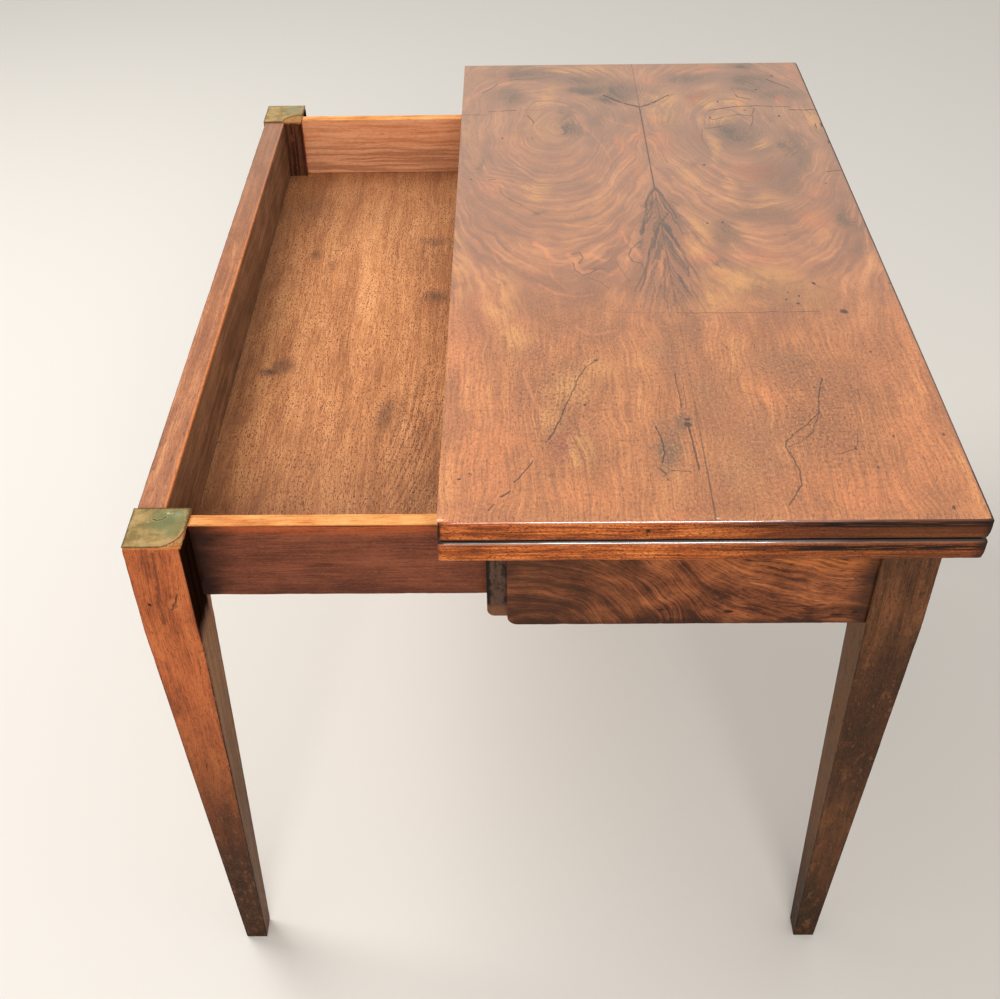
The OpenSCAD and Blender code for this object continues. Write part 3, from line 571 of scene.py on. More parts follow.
# Soft patches: tint, its share, and the centre, radii and strength of each
TOP_PATCHES = [
    ((95, 79, 63), 1.2, [
        (214, 900, 40, 24, 1), (184, 934, 44, 24, 0.9), (222, 108, 20, 36, 0.75), (240, 142, 8, 12, 1),
        (94, 992, 72, 30, 0.8), (172, 968, 60, 22, 0.8), (196, 942, 34, 22, 0.85), (226, 925, 30, 50, 1),
        (66, 910, 36, 38, 0.9), (145, 850, 11, 34, 0.85), (155, 805, 12, 32, 1), (160, 789, 14, 9, 0.9),
        (192, 836, 20, 44, 0.5), (236, 842, 14, 30, 0.45), (372, 783, 34, 58, 0.95),
        (408, 735, 40, 22, 0.45), (444, 745, 20, 92, 0.85), (422, 952, 46, 54, 0.9),
        (450, 908, 42, 30, 0.9), (331, 972, 50, 28, 0.75), (416, 1015, 30, 16, 1), (417, 660, 38, 84, 0.5),
        (369, 564, 60, 30, 0.65), (331, 517, 24, 48, 0.75), (475, 548, 14, 42, 0.8),
        (162, 880, 16, 10, 0.5), (312, 632, 6, 4, 0.8), (318, 611, 6, 5, 0.7), (306, 692, 8, 8, 0.5),
        (31, 700, 9, 40, 0.6), (103, 566, 8, 6, 0.7), (475, 465, 14, 26, 0.5), (308, 442, 7, 8, 0.8),
        (150, 440, 30, 22, 0.25),
    ]),
    ((93, 77, 62), 1.3, [
        (244, 584, 9, 30, 0.9), (258, 572, 9, 34, 1), (238, 535, 12, 40, 0.9), (264, 535, 13, 42, 1),
        (268, 560, 14, 62, 0.7), (266, 440, 12, 66, 0.6), (238, 480, 18, 60, 0.8), (262, 478, 13, 50, 0.75),
        (262, 420, 12, 50, 0.85), (215, 400, 15, 36, 0.45), (254, 385, 9, 30, 0.5),
    ]),
    ((120, 86, 62), 1, [
        (219, 110, 25, 44, 1), (212, 80, 18, 24, 0.8), (240, 140, 8, 22, 1), (235, 262, 26, 70, 0.55),
        (262, 300, 16, 60, 0.6), (273, 190, 26, 90, 0.5), (266, 54, 26, 32, 0.7), (300, 116, 52, 74, 0.6),
        (353, 246, 42, 44, 0.6), (292, 60, 90, 70, 0.55), (384, 199, 15, 15, 0.6), (150, 545, 70, 60, 0.25),
        (170, 300, 22, 30, 0.3), (190, 215, 10, 50, 0.35),
    ]),
    ((150, 84, 56), 1.1, [
        (116, 107, 21, 33, 0.9), (94, 268, 20, 26, 0.6), (20, 340, 20, 60, 0.4), (340, 903, 24, 34, 0.7),
        (395, 670, 40, 30, 0.45), (320, 780, 10, 34, 0.5), (452, 240, 26, 120, 0.35),
        (383, 100, 24, 14, 0.5), (250, 16, 40, 12, 0.4), (278, 832, 18, 14, 0.3),
    ]),
    ((208, 114, 72), 0.6, [
        (19, 290, 22, 110, 0.5), (300, 455, 24, 13, 0.7), (360, 458, 36, 20, 0.4), (305, 410, 14, 9, 0.5),
        (206, 514, 8, 18, 0.7), (244, 425, 6, 50, 0.7), (222, 12, 20, 12, 0.6), (40, 640, 24, 40, 0.3),
        (375, 680, 30, 22, 0.4), (80, 770, 44, 60, 0.3), (150, 700, 60, 50, 0.25), (454, 620, 26, 40, 0.3),
    ]),
    ((222, 160, 92), 0.85, [
        (175, 1008, 52, 15, 0.8), (125, 916, 15, 44, 0.7), (103, 803, 34, 60, 0.4), (290, 897, 30, 40, 0.8),
        (282, 838, 26, 44, 0.7), (337, 750, 11, 52, 0.8), (403, 757, 14, 20, 0.8), (489, 830, 12, 52, 0.7),
        (12, 780, 9, 80, 0.4), (103, 629, 17, 42, 0.6), (344, 642, 11, 42, 0.8), (300, 660, 12, 34, 0.5),
        (391, 601, 30, 20, 0.6), (297, 520, 17, 50, 0.95), (286, 482, 16, 24, 0.9),
        (344, 408, 78, 38, 0.85), (297, 372, 38, 40, 0.75), (370, 372, 40, 22, 0.5),
        (78, 291, 17, 40, 0.85), (66, 380, 16, 70, 0.6), (125, 204, 30, 45, 0.75), (160, 236, 22, 26, 0.6),
        (134, 104, 13, 40, 0.85), (300, 262, 14, 40, 0.5), (12, 420, 10, 120, 0.5), (400, 370, 36, 30, 0.5),
        (104, 148, 12, 30, 0.7), (352, 880, 16, 40, 0.8), (360, 835, 24, 22, 0.7), (395, 885, 14, 40, 0.7),
    ]),
    ((224, 130, 76), 0.7, [
        (219, 753, 12, 26, 0.9), (242, 784, 8, 44, 0.9), (262, 822, 12, 30, 0.6), (453, 887, 9, 18, 0.9),
        (400, 886, 11, 9, 0.8), (344, 1004, 50, 15, 0.6), (490, 990, 16, 50, 0.7), (275, 965, 16, 36, 0.5),
        (270, 760, 20, 60, 0.6), (47, 94, 52, 110, 0.75), (392, 44, 112, 44, 0.75), (328, 190, 16, 40, 0.6),
        (490, 250, 12, 200, 0.5), (140, 40, 60, 36, 0.5), (20, 12, 40, 20, 0.6), (437, 545, 26, 34, 0.5),
        (60, 980, 14, 30, 0.4), (230, 690, 20, 60, 0.5), (462, 110, 34, 120, 0.6), (6, 250, 8, 240, 0.5),
    ]),
]
# Dark dots: centre, radii
TOP_DOTS = [
    (431, 340, 5.5, 5.5), (240, 148, 3.4, 3), (240, 140, 4.6, 5.5), (422, 927, 2.2, 2.4),
    (441, 838, 2.8, 3.4), (57, 776, 1.8, 3.2), (141, 173, 2.2, 2.4), (156, 251, 2.8, 2),
    (452, 976, 3.4, 2.4), (17, 657, 2.4, 1.8), (96, 776, 1.6, 1.6), (468, 638, 1.8, 1.8),
    (395, 508, 1.6, 1.8), (409, 398, 2.6, 4), (28, 68, 1.6, 1.6), (19, 60, 2.6, 2), (465, 15, 2.2, 4),
    (410, 73, 1.6, 2.2), (435, 120, 1.4, 3), (483, 122, 1.4, 3), (443, 262, 2.2, 1.6), (395, 101, 1.8, 3),
    (494, 810, 2.2, 9), (494, 757, 1.8, 6), (486, 806, 1, 12), (372, 365, 2, 2), (388, 372, 1.6, 3),
    (384, 356, 3, 2), (377, 380, 1.8, 1.4), (320, 692, 2.6, 3), (362, 888, 1.4, 4), (396, 858, 2, 2),
    (324, 540, 2, 2.4), (306, 538, 2, 2), (345, 835, 2, 3), (494, 398, 1.6, 2),
]
# Thirds of the top's length, each with a material of its own
TOP_BANDS = (-1, 330, 640, 1030)
SEAM_FROM_HINGE = (X_SEAM - X_HINGE) / MM
# The rings' eye, its width for its length, and how soon the rings turn straight
EYE = (125.0, 815.0)
EYE_RATIO = 0.62
BOWL = 330.0
FLAME_TIP = 628.0
# How far the noises may carry a line or a patch, and how far a patch fades out
LINE_MARGIN = 12
PATCH_MARGIN = 14
PATCH_SPREAD = 1.25


def within(points, margin, u_range, v_range):
    """True if any of these points, with a margin round them, may touch a region."""
    us, vs = [p[0] for p in points], [p[1] for p in points]
    beside = max(us) + margin < u_range[0] or min(us) - margin > u_range[1]
    beyond = max(vs) + margin < v_range[0] or min(vs) - margin > v_range[1]
    return not (beside or beyond)


def drawn(graph, at, lines, region, soft=1.0):
    """How far a place lies on one of these lines, 0 to 1."""
    mark = None
    for width, strength, *places in lines:
        points = list(zip(places[::2], places[1::2]))
        if within(points, LINE_MARGIN, *region):
            near = graph.line(at, points).rise(width * (1 + soft), width * 0.35) * strength
            mark = graph.high(mark, near)
    return mark


def patched(graph, at, patches, region):
    """How far a place lies in one of these soft patches, 0 to 1."""
    mark = None
    for u, v, wide, long, strength in patches:
        if within([(u, v)], max(wide, long) + PATCH_MARGIN, *region):
            spot = graph.spot(at, (u, v), (wide * PATCH_SPREAD, long * PATCH_SPREAD), soft=0.9) * strength
            mark = graph.high(mark, spot)
    return mark


def veneer_material(name, region):
    """Figured walnut: rings round an eye at the back, a dark flame on the seam, straight grain in front."""
    graph = Surface(name, Specular_IOR_Level=0.5, Coat_Roughness=0.3)
    u = graph.x - X_HINGE / MM
    v = graph.y - Y_FRONT / MM
    at = graph.place(u, v)
    side = abs(u - SEAM_FROM_HINGE)
    front = v.rise(470, 250)

    wide = graph.noises(side / 85, v / 110, 7.0, 1)
    curly = graph.noises(side / 24, v / 32, 1.0, 2)
    own = graph.noises(u / 70, v / 80, 3.0, 3)
    w = SEAM_FROM_HINGE - side + wide[0].swing(44) + curly[0].swing(10) + own[0].swing(26)
    straight = SEAM_FROM_HINGE - side + wide[0].swing(40) + curly[0].swing(3)
    t = v + wide[1].swing(60) + curly[1].swing(12) + own[1].swing(20)
    bowl = graph.math("TANH", (EYE[1] - t) / BOWL) * BOWL
    ring = graph.vector("LENGTH", graph.place((w - EYE[0]) / EYE_RATIO, bowl), None, output=1)
    rings = graph.noise(ring / 5.6, side / 120, v / 120, 4, 0.7)
    broad = graph.noise(ring / 30, side / 180, v / 180, 1)
    lines = graph.noise(straight / 3.2, v / 120, 9.0, 4, 0.72)
    grain = graph.between(front, rings, lines)
    cloud = graph.noise(u / 38, v / 56, 5.0, 5, 0.68)
    grit = graph.noise(u / 2.8, v / 3.8, 0.0, 4, 0.8)
    tone = grain * 0.42 + broad * 0.20 + cloud * 0.24 + grit * 0.14
    graph.colour = graph.ramp(tone, 0.40, 0.66, (0.0, 138, 80, 48), (0.4, 180, 109, 64),
                              (0.7, 206, 130, 77), (1.0, 228, 156, 92))
    back = v.rise(250, 900)
    graph.paint(back * 0.5, (138, 108, 88))
    # Painted reflection: a pale haze towards the back of the top, as the polish mirrors a pale wall there.
    graph.paint(v.rise(240, 460) * 0.12, (196, 176, 154))
    graph.paint(front * 0.22, (204, 136, 76))

    across = own[1].swing(30) + cloud.swing(60) + grain.swing(40)
    at_patch = graph.vector("ADD", at, graph.place(across, own[2].swing(36) + grain.swing(60)))
    ragged = (cloud * 0.3 + grain * 0.4 + grit * 0.3).rise(0.42, 0.56)
    for tint, gain, patches in TOP_PATCHES:
        mark = patched(graph, at_patch, patches, region)
        if mark is not None:
            graph.paint(graph.low(mark * (ragged * 0.7 + 0.2) * gain, 1.0), tint)

    below = FLAME_TIP - v
    swing = graph.noise(side / 14, v / 46, 2.0, 2).swing(15)
    feather = side + swing - below * 0.2
    barbs = graph.noise(feather / 3.4, v / 200, 6.0, 2).rise(0.40, 0.60)
    reach = graph.math("SQRT", graph.high(below, 0.0)) * 2.35
    inside = (side + swing * 0.5 - reach).rise(3.0, -4.0) * v.rise(300, 400)
    flame = graph.mix(barbs, (92, 72, 58), (172, 112, 78))
    graph.paint(inside * 0.62, flame)

    ripple = graph.math("SINE", (w * 0.5 + v * 0.86) / 1.9 + own[2].swing(22))
    rippled = graph.spot(at, (58, 655), (44, 62), soft=0.9) * ripple.rise(0.1, 1.0)
    graph.paint(rippled * 0.35, (222, 146, 102))

    dense = graph.high(graph.spot(at, (112, 190), (70, 150), soft=0.9),
                       graph.spot(at, (372, 160), (70, 120), soft=0.9))
    speck = grit.rise(0.51, 0.62) * (0.24 + front * (0.36 + dense * 0.5))
    graph.paint(speck, (108, 64, 42))
    glint = grit.rise(0.46, 0.34) * (0.1 + front * 0.32)
    graph.paint(glint, (236, 172, 104))
    pores = graph.noise(straight / 1.2, v / 10, 4.0, 1)
    pore = pores.rise(0.60, 0.72)
    graph.paint(pore * (0.14 + front * 0.46), (88, 46, 30))

    slow = graph.noises(u / 11, v / 11, 5.0, 3)
    moved = graph.vector("ADD", at, graph.place(slow[0].swing(4), slow[1].swing(4)))
    streak = drawn(graph, moved, TOP_STREAKS, region)
    if streak is not None:
        graph.paint(streak * (0.24 + ragged * 0.32), (224, 142, 96))
    outline = drawn(graph, moved, TOP_OUTLINES, region)
    if outline is not None:
        graph.paint(outline * 0.62, (66, 52, 46))
    seam = (side + slow[2].swing(0.8)).rise(1.2, 0.4)
    rear = v.rise(612, 640) * (1 - v.rise(868, 884) * 0.6)
    seam = seam * graph.high(graph.high(rear * 0.85, v.rise(250, 60) * 0.75), 0.3)
    crack = drawn(graph, moved, TOP_CRACKS, region, soft=0.6)
    crack = seam if crack is None else graph.high(crack * slow[2].rise(0.30, 0.42), seam)
    for *centre, wide, long in TOP_DOTS:
        if within([centre], PATCH_MARGIN, *region):
            crack = graph.high(crack, graph.spot(moved, centre, (wide, long), soft=0.5))
    graph.paint(crack * 0.85, (52, 38, 34))

    rim = v.rise(6.5, 3.0)
    graph.feed(graph.shader.inputs["Coat Weight"], 0.5 + rim * 0.5)
    graph.feed(graph.shader.inputs["Coat Roughness"], 0.3 - rim * 0.22)
    # Painted shade on the round of the leaf's long edge, which turns away from the light; it is rougher
    # there too.
    edge = u.rise(LEAF_WIDTH / MM - 5, LEAF_WIDTH / MM - 1)
    graph.paint(edge * 0.75, (34, 19, 12))
    roughness = 0.36 + grit * 0.12 + crack * 0.3 + edge * 0.3
    relief = graph.noise(u / 1.1, v / 7, 3.0, 1) * 0.6 - crack * 1.4
    return graph.finish(roughness, relief, 0.12)


def veneers():
    """The show face's two halves. Each third of their length has a material with only its own marks."""
    planes = [Y_FRONT + v * MM for v in TOP_BANDS[1:-1]]
    halves = {"veneer_left": (0, SEAM_FROM_HINGE), "veneer_right": (SEAM_FROM_HINGE, LEAF_WIDTH / MM)}
    for node, u_range in halves.items():
        piece = worn_piece(node, (12, 8, None), box=UPPER_BOX, reach=5, dents=0.3, waves=0.06, seed=1,
                           extra=((), planes, ()))
        piece.data.materials.clear()
        for index, v_range in enumerate(zip(TOP_BANDS, TOP_BANDS[1:])):
            piece.data.materials.append(veneer_material(f"{node}_{index}", (u_range, v_range)))
        for face in piece.data.polygons:
            face.material_index = sum(face.center.y > plane for plane in planes)


def lining_material():
    """Green baize, its nap rubbed off in a few places."""
    graph = Surface("leaf_baize", Sheen_Weight=0.25, Sheen_Roughness=0.4, Specular_IOR_Level=0.15)
    x, y, z = graph.at
    nap = graph.noise(x / 0.8, y / 0.8, z / 0.8, 3, 0.7)
    fluff = graph.noise(x / 2.6, y / 2.6, z / 2.6, 3)
    patch = graph.noise(x / 18, y / 18, z / 18, 4, 0.6)
    graph.colour = graph.mix(patch.rise(0.35, 0.65), (80, 90, 47), (88, 97, 53))
    graph.paint(nap.rise(0.42, 0.25) * 0.5, (52, 52, 28))
    rubbed = (patch + fluff * 0.5).rise(0.92, 1.16)
    graph.paint(rubbed * 0.7, (116, 112, 70))
    return graph.finish(0.92, nap * 0.6 + fluff * 0.6, 0.35)


def pad_material(node):
    """The rubbed baize of a leg top: tan where the leaf and hands have worn it, green where not."""
    low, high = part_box(node)
    graph = Surface(node, Sheen_Weight=0.1, Sheen_Roughness=0.5, Specular_IOR_Level=0.1)
    a = graph.x - low.x / MM
    b = graph.y - low.y / MM
    nap = graph.noise(a / 1.0, b / 1.0, graph.z, 3, 0.7)
    patch = graph.noises(a / 15, b / 13, low.y * 20, 4, 0.62)
    fold = graph.noise(a / 3.4, b / 5, low.y * 30, 3)
    at = graph.place(a + patch[1].swing(16), b + patch[2].swing(16))
    graph.colour = graph.ramp(patch[0], 0.34, 0.66, (0.0, 130, 108, 62), (0.45, 158, 130, 78),
                              (1.0, 180, 148, 98))
    if node == "pad_front":
        green = graph.high(graph.spot(at, (36, 38), (32, 28), soft=0.95),
                           graph.spot(at, (44, 22), (14, 18), soft=0.95) * 0.8)
        graph.paint(green * 0.9, (108, 116, 74))
        grey = graph.spot(at, (46, 48), (14, 12), soft=0.9) * fold.rise(0.4, 0.6)
        graph.paint(grey * 0.6, (150, 152, 120))
        exact = graph.place(a + fold.swing(3), b + nap.swing(2))
        tear = graph.line(exact, [(22, 40), (26, 38), (31, 39), (34, 43)])
        graph.paint(tear.rise(2.2, 1.0) * 0.5, (178, 150, 100))
        graph.paint(tear.rise(1.0, 0.4) * 0.9, (40, 30, 18))
        bits = graph.high(graph.spot(at, (36, 46), (4, 2.6), soft=0.6),
                          graph.spot(at, (17, 34), (2, 1.4), soft=0.6))
        graph.paint(bits * nap.rise(0.45, 0.58), (226, 210, 170))
    else:
        green = graph.spot(at, (40, 40), (22, 24), soft=0.9)
        graph.paint(green * 0.6, (128, 134, 108))
    if node == "pad_front":
        side = high.x / MM - low.x / MM
        cut = graph.line(graph.place(a, b), [(side, 22), (54, 14), (50, 8), (43, 3), (34, 0)])
        graph.paint(cut.rise(5.5, 3.5) * 0.7, (176, 136, 88))
    gap = graph.arris(low, high) + fold.swing(4)
    graph.paint(gap.rise(2.4, 0.8) * 0.75, (72, 54, 32))
    graph.paint(nap.rise(0.44, 0.28) * 0.45, (66, 60, 34))
    graph.paint(nap.rise(0.58, 0.72) * 0.35, (206, 190, 140))
    return graph.finish(0.86, nap * 0.7 + fold * 1.0, 0.5)


def brass_material():
    """Old brass, dull and brown in patches."""
    graph = Surface("hinge_brass", Metallic=1.0)
    stain = graph.noise(graph.x / 15, graph.y / 15, graph.z / 15, 4, 0.6)
    scratch = graph.noise(graph.x / 3, graph.y / 12, graph.z / 0.6, 2)
    graph.colour = graph.ramp(stain, 0.3, 0.7, (0.0, 128, 98, 52), (0.5, 166, 132, 74), (1.0, 190, 156, 92))
    return graph.finish(0.3 + stain * 0.25, scratch * 0.25, 0.05)


def iron_material():
    """Darkened iron with a little rust."""
    graph = Surface("screw_iron", Metallic=0.85)
    rust = graph.noise(graph.x / 2.4, graph.y / 2.4, graph.z / 2.4, 4, 0.7)
    graph.colour = graph.mix(rust.rise(0.5, 0.68), (92, 86, 80), (110, 66, 42))
    return graph.finish(0.45 + rust * 0.3, rust * 0.5, 0.1)


def plain_wood(name, along, dark, middle, pale, seed, band=6.0):
    """Unfinished wood inside the table."""
    graph = Surface(name, Specular_IOR_Level=0.25)
    grain = Grain(graph, along, seed=seed, band=band)
    tone = grain.broad * 0.35 + grain.bands * 0.4 + grain.fine * 0.25
    graph.colour = graph.ramp(tone, 0.38, 0.66, (0.0, *dark), (0.5, *middle), (1.0, *pale))
    graph.paint(grain.pores * 0.5, (84, 56, 36))
    return graph.finish(0.62 + grain.fine * 0.2, grain.fine * 0.4 - grain.pores * 0.5, 0.15)


def make_stage():
    """A plain pale floor that goes over into a pale background."""
    bm = bmesh.new()
    bmesh.ops.create_circle(bm, cap_ends=True, segments=96, radius=FLOOR_RADIUS)
    mesh = bpy.data.meshes.new("floor")
    bm.to_mesh(mesh)
    bm.free()
    material = bpy.data.materials.new("floor")
    material.use_nodes = True
    shader = material.node_tree.nodes["Principled BSDF"]
    shader.inputs["Base Color"].default_value = srgb(224, 219, 211)
    shader.inputs["Roughness"].default_value = 0.75
    shader.inputs["Specular IOR Level"].default_value = 0.2
    mesh.materials.append(material)
    new_object("floor", mesh)


def make_world():
    """Even light. A camera, mirror or glass sees a paler background, greyer towards the horizon."""
    world = bpy.data.worlds.new("world")
    bpy.context.scene.world = world
    world.use_nodes = True
    graph = Graph(world.node_tree)
    graph.tree.nodes.clear()
    light = graph.node("ShaderNodeBackground")
    light.inputs["Color"].default_value = srgb(250, 249, 247)
    light.inputs["Strength"].default_value = 0.62
    split = graph.node("ShaderNodeSeparateXYZ")
    graph.feed(split.inputs[0], Value(graph, graph.node("ShaderNodeTexCoord").outputs["Generated"]))
    up = graph.node("ShaderNodeMapRange")
    up.interpolation_type = "SMOOTHSTEP"
    up.inputs["From Max"].default_value = 0.3
    graph.feed(up.inputs["Value"], Value(graph, split.outputs["Z"]))
    seen = graph.node("ShaderNodeBackground")
    tint = graph.mix(Value(graph, up.outputs[0]), (176, 172, 166), (244, 242, 238))
    graph.feed(seen.inputs["Color"], tint)
    path = graph.node("ShaderNodeLightPath")
    rays = [Value(graph, path.outputs[f"Is {kind} Ray"]) for kind in ("Camera", "Glossy", "Transmission")]
    choose = graph.node("ShaderNodeMixShader")
    shown = graph.high(graph.high(rays[0], rays[1]), rays[2])
    parts = (shown, Value(graph, light.outputs[0]), Value(graph, seen.outputs[0]))
    for socket, value in zip(choose.inputs, parts):
        graph.feed(socket, value)
    output = graph.node("ShaderNodeOutputWorld")
    graph.feed(output.inputs["Surface"], Value(graph, choose.outputs[0]))


def make_lamp(name, place, target, size, power):
    """A soft rectangular lamp that faces a point."""
    data = bpy.data.lights.new(name, "AREA")
    data.shape = "RECTANGLE"
    data.size, data.size_y = size
    data.energy = power
    lamp = new_object(name, data)
    lamp.location = place
    lamp.rotation_euler = (Vector(target) - Vector(place)).to_track_quat("-Z", "Y").to_euler()
    lamp.visible_camera = False


def make_light():
    """Daylight from behind on the left, and a weaker lamp beside the camera."""
    make_lamp("window", (-2.1, 0.9, 2.9), (0, 0, 0.7), (2.0, 2.0), 75)
    make_lamp("fill", (0.05, -3.2, 2.4), (0, 0, 0.6), (1.6, 1.0), 64)


# Tones of the legs: dark, middle, pale, foot, and the painted light and shade of the side that faces the
# table's middle
LEG_TONES = {
    "leg_front_left": ((120, 60, 33), (172, 91, 50), (200, 114, 64), (58, 39, 20), (162, 115, 68)),
    "leg_back_left": ((108, 50, 26), (156, 78, 40), (188, 104, 56), (62, 40, 22), (124, 86, 54)),
    "leg_front_right": ((48, 29, 16), (92, 57, 34), (132, 82, 50), (66, 42, 18), (118, 81, 47)),
    "leg_back_right": ((48, 29, 16), (92, 57, 34), (128, 80, 50), (66, 42, 18), (118, 81, 47)),
}
# Heights between which the dirt of the feet sets in, on the fixed and on the sliding legs
LEG_SOIL = ((300, 40), (560, 150))
# A leg's width at the foot and at the top, and the height where its taper ends
LEG_TAPER = (26.0, 56.0, 600.0)
# Chips along the top of a sliding leg: share of its width, radius and depth
LEG_CHIPS = [(0.06, 7, 1.5), (0.3, 4, 0.8), (0.42, 6, 1.0), (0.72, 6, 1.1), (0.95, 6, 1.6)]
# Marks on the front face of the left front leg: from its left edge and from the floor
LEG_KNOT = (37, 637)
LEG_CUT = [(33, 630), (38, 641), (42, 652)]
LEG_STREAK = [(29, 706), (27, 690), (25.5, 668), (22, 640), (23, 612)]


def leg_material(node, low, high, tones):
    """Mottled wood, dirty at the arrises, bare on top of a sliding leg, and dark at the foot. Light and
    shade are painted on the sides that face the table's middle, and shade on a sliding leg's right-hand
    arrises, in the recesses, on the back left leg's face towards the tray and over the middle of a fixed
    leg.
    """
    dark, middle, pale, foot, away = tones
    left = "left" in node
    cx, cy = (low.x + high.x) / 2 / MM, (low.y + high.y) / 2 / MM
    outermost = max(abs(low.y), abs(high.y)) / MM
    graph = Surface(node, Specular_IOR_Level=0.12)
    x, y, z = graph.at
    grain = Grain(graph, "Z", seed=low.x * 90, sway=14, band=5, fine=1.2, pore=(0.8, 7))
    blotch = graph.noise(x / 9, y / 9, z / 20, 5, 0.76)
    streaky, patchy, spotty = (0.24, 0.32, 0.11) if left else (0.14, 0.33, 0.30)
    tone = (grain.broad + grain.bands) * streaky + grain.fine * 0.2 + grain.mottle * patchy
    tone = tone + blotch * spotty
    graph.colour = graph.ramp(tone, 0.42, 0.72, (0.0, *dark), (0.45, *middle), (1.0, *pale))
    half = 0.5 * (LEG_TAPER[0] + (LEG_TAPER[1] - LEG_TAPER[0]) * graph.low(z / LEG_TAPER[2], 1.0))
    inset_x = half - abs(x - cx)
    inset_y = half - abs(y - cy)
    right_face = (half - (x - cx)).rise(1.1, 0.5)
    # Painted shade on the back left leg's face towards the tray, near its top.
    if node == "leg_back_left":
        tray_face = (y - (cy - half)).rise(2.0, 1.0) * z.rise(560, 620)
        gloomy = graph.mix(grain.bands.rise(0.40, 0.60), (34, 21, 14), (92, 58, 38))
        graph.paint(tray_face * 0.9, gloomy)
    # Painted light and shade: the side that faces the table's middle gets a tone of its own, low on a
    # sliding leg's right face and on a fixed leg's left face.
    if left:
        side = graph.mix(grain.bands.rise(0.3, 0.7), away, (104, 72, 46))
        graph.paint(right_face * z.rise(640, 560) * 0.9, side)
    else:
        left_face = (half + (x - cx)).rise(1.1, 0.5)
        graph.paint(left_face * 0.75, away)
    down = (z + blotch.swing(300)).rise(*LEG_SOIL[left])
    soil = graph.mix(blotch.rise(0.36, 0.60), foot, (30, 18, 9))
    graph.paint(down * (1 - right_face * 0.4) * 0.96, soil)
    # Painted shade over the middle of a fixed leg, on all but its lit left face.
    if not left:
        middle_gloom = abs(z + blotch.swing(160) - 450).rise(190, 40)
        graph.paint(middle_gloom * (1 - left_face) * 0.75, (44, 28, 15))
    spots = blotch.rise(0.53, 0.66)
    graph.paint(spots * (0.25 if left else 0.7), (42, 25, 16))
    rust = blotch.rise(0.46, 0.34)
    graph.paint(rust * (0.2 if left else 0.5), pale)
    graph.paint(grain.pores * 0.5, (36, 19, 11))
    graph.grit(0.3 if left else 0.42, (1, 1, 2), pale=pale)
    if node == "leg_front_left":
        wobble = graph.noises(x / 6, y / 6, z / 6, 2)
        at = graph.place(x - cx + 28 + wobble[0].swing(5), z + wobble[1].swing(5))
        face = (y - (cy - half)).rise(1.1, 0.5)
        halo = graph.spot(at, LEG_KNOT, (9, 13), soft=0.8) * 0.5
        graph.paint(halo * face, (200, 122, 72))
        streak = graph.line(at, LEG_STREAK).rise(3.4, 0.4) * 0.5
        cuts = graph.line(at, LEG_CUT).rise(1.5, 0.3) * 0.8
        knot = graph.spot(at, LEG_KNOT, (3.4, 6.0), soft=0.7) * 0.6
        dot = graph.spot(at, (12.6, 638), (1.8, 2.8), soft=0.5)
        marks = graph.high(graph.high(streak, cuts), graph.high(knot, dot))
        graph.paint(marks * face, (58, 30, 18))
    # Darker arrises: dirt on every leg, and on a sliding leg's right-hand arrises painted shade as well.
    fray = graph.noise(x / 4, y / 4, z / 9, 3).swing(3.2)
    edge = (graph.high(inset_x, inset_y) + fray).rise(1.7, 0.5)
    if left:
        edge = graph.high(edge * 0.45, edge * x.rise(cx, cx + 4) * 0.95)
    graph.paint(edge * (1.0 if left else 0.6), (30, 17, 10))
    # Painted shade: recesses inside a leg, and on a sliding leg the top of its right face round the slot,
    # are painted near black, and on a sliding leg lose their shine.
    inside = graph.low(inset_x, inset_y).rise(1.2, 2.0)
    if left:
        slotted = (half - (x - cx)).rise(3.0, 1.8) * (z + grain.mottle.swing(30)).rise(575, 605)
        slotted = slotted * abs(y).rise(outermost - 50, outermost - 40)
        inside = graph.high(inside, slotted)
        graph.feed(graph.shader.inputs["Specular IOR Level"], 0.12 - inside * 0.12)
    graph.paint(inside * 0.97, (17, 9, 5))
    if left:
        top = z.rise(high.z / MM - 0.8, high.z / MM - 0.3)
        bare = graph.mix(grain.fine.rise(0.35, 0.6), (112, 74, 42), (190, 140, 88))
        graph.paint(top, bare)
        ragged = graph.noise(x / 5, y / 5, 0.0, 3) * 6
        chipped = (z + ragged).rise(high.z / MM - 0.2, high.z / MM + 1.0)
        graph.paint(chipped * (1 - top) * 0.75, (196, 118, 62))
    roughness = 0.46 + grain.mottle * 0.25
    return graph.finish(roughness, grain.fine * 0.4 + blotch * 0.6 - grain.pores * 0.6, 0.2)


def legs():
    """The four legs. The sliding ones are chipped along the top."""
    for node, tones in LEG_TONES.items():
        low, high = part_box(node)
        left = "left" in node
        front = low.y if low.y < 0 else high.y
        chips = [((low.x + share * (high.x - low.x), front, high.z), radius, deep)
                 for share, radius, deep in LEG_CHIPS if left]
        piece = worn_piece(node, (14, 14, 8), bevel=0.8, shortest=40, reach=5, dents=0.6, waves=0.3,
                           seed=low.x * 7 + low.y, spots=chips, extra=(
                               [low.x + 2 * MM, low.x + 5 * MM, high.x - 2 * MM, high.x - 5 * MM],
                               [low.y + 2 * MM, low.y + 5 * MM, high.y - 2 * MM, high.y - 5 * MM],
                               [high.z - MM, high.z - 3 * MM]))
        dress(piece, leg_material(node, low, high, tones))


def long_rail(node, leg, pitch, bevel, **wear):
    """A rail between two legs, worn only between them."""
    low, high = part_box(node)
    y_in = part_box(leg)[1].y
    show = (Vector((low.x, y_in, low.z)), Vector((high.x, -y_in, high.z)))
    return worn_piece(node, pitch, box=show, bevel=bevel, skip=[(1, y_in), (1, -y_in)], **wear)


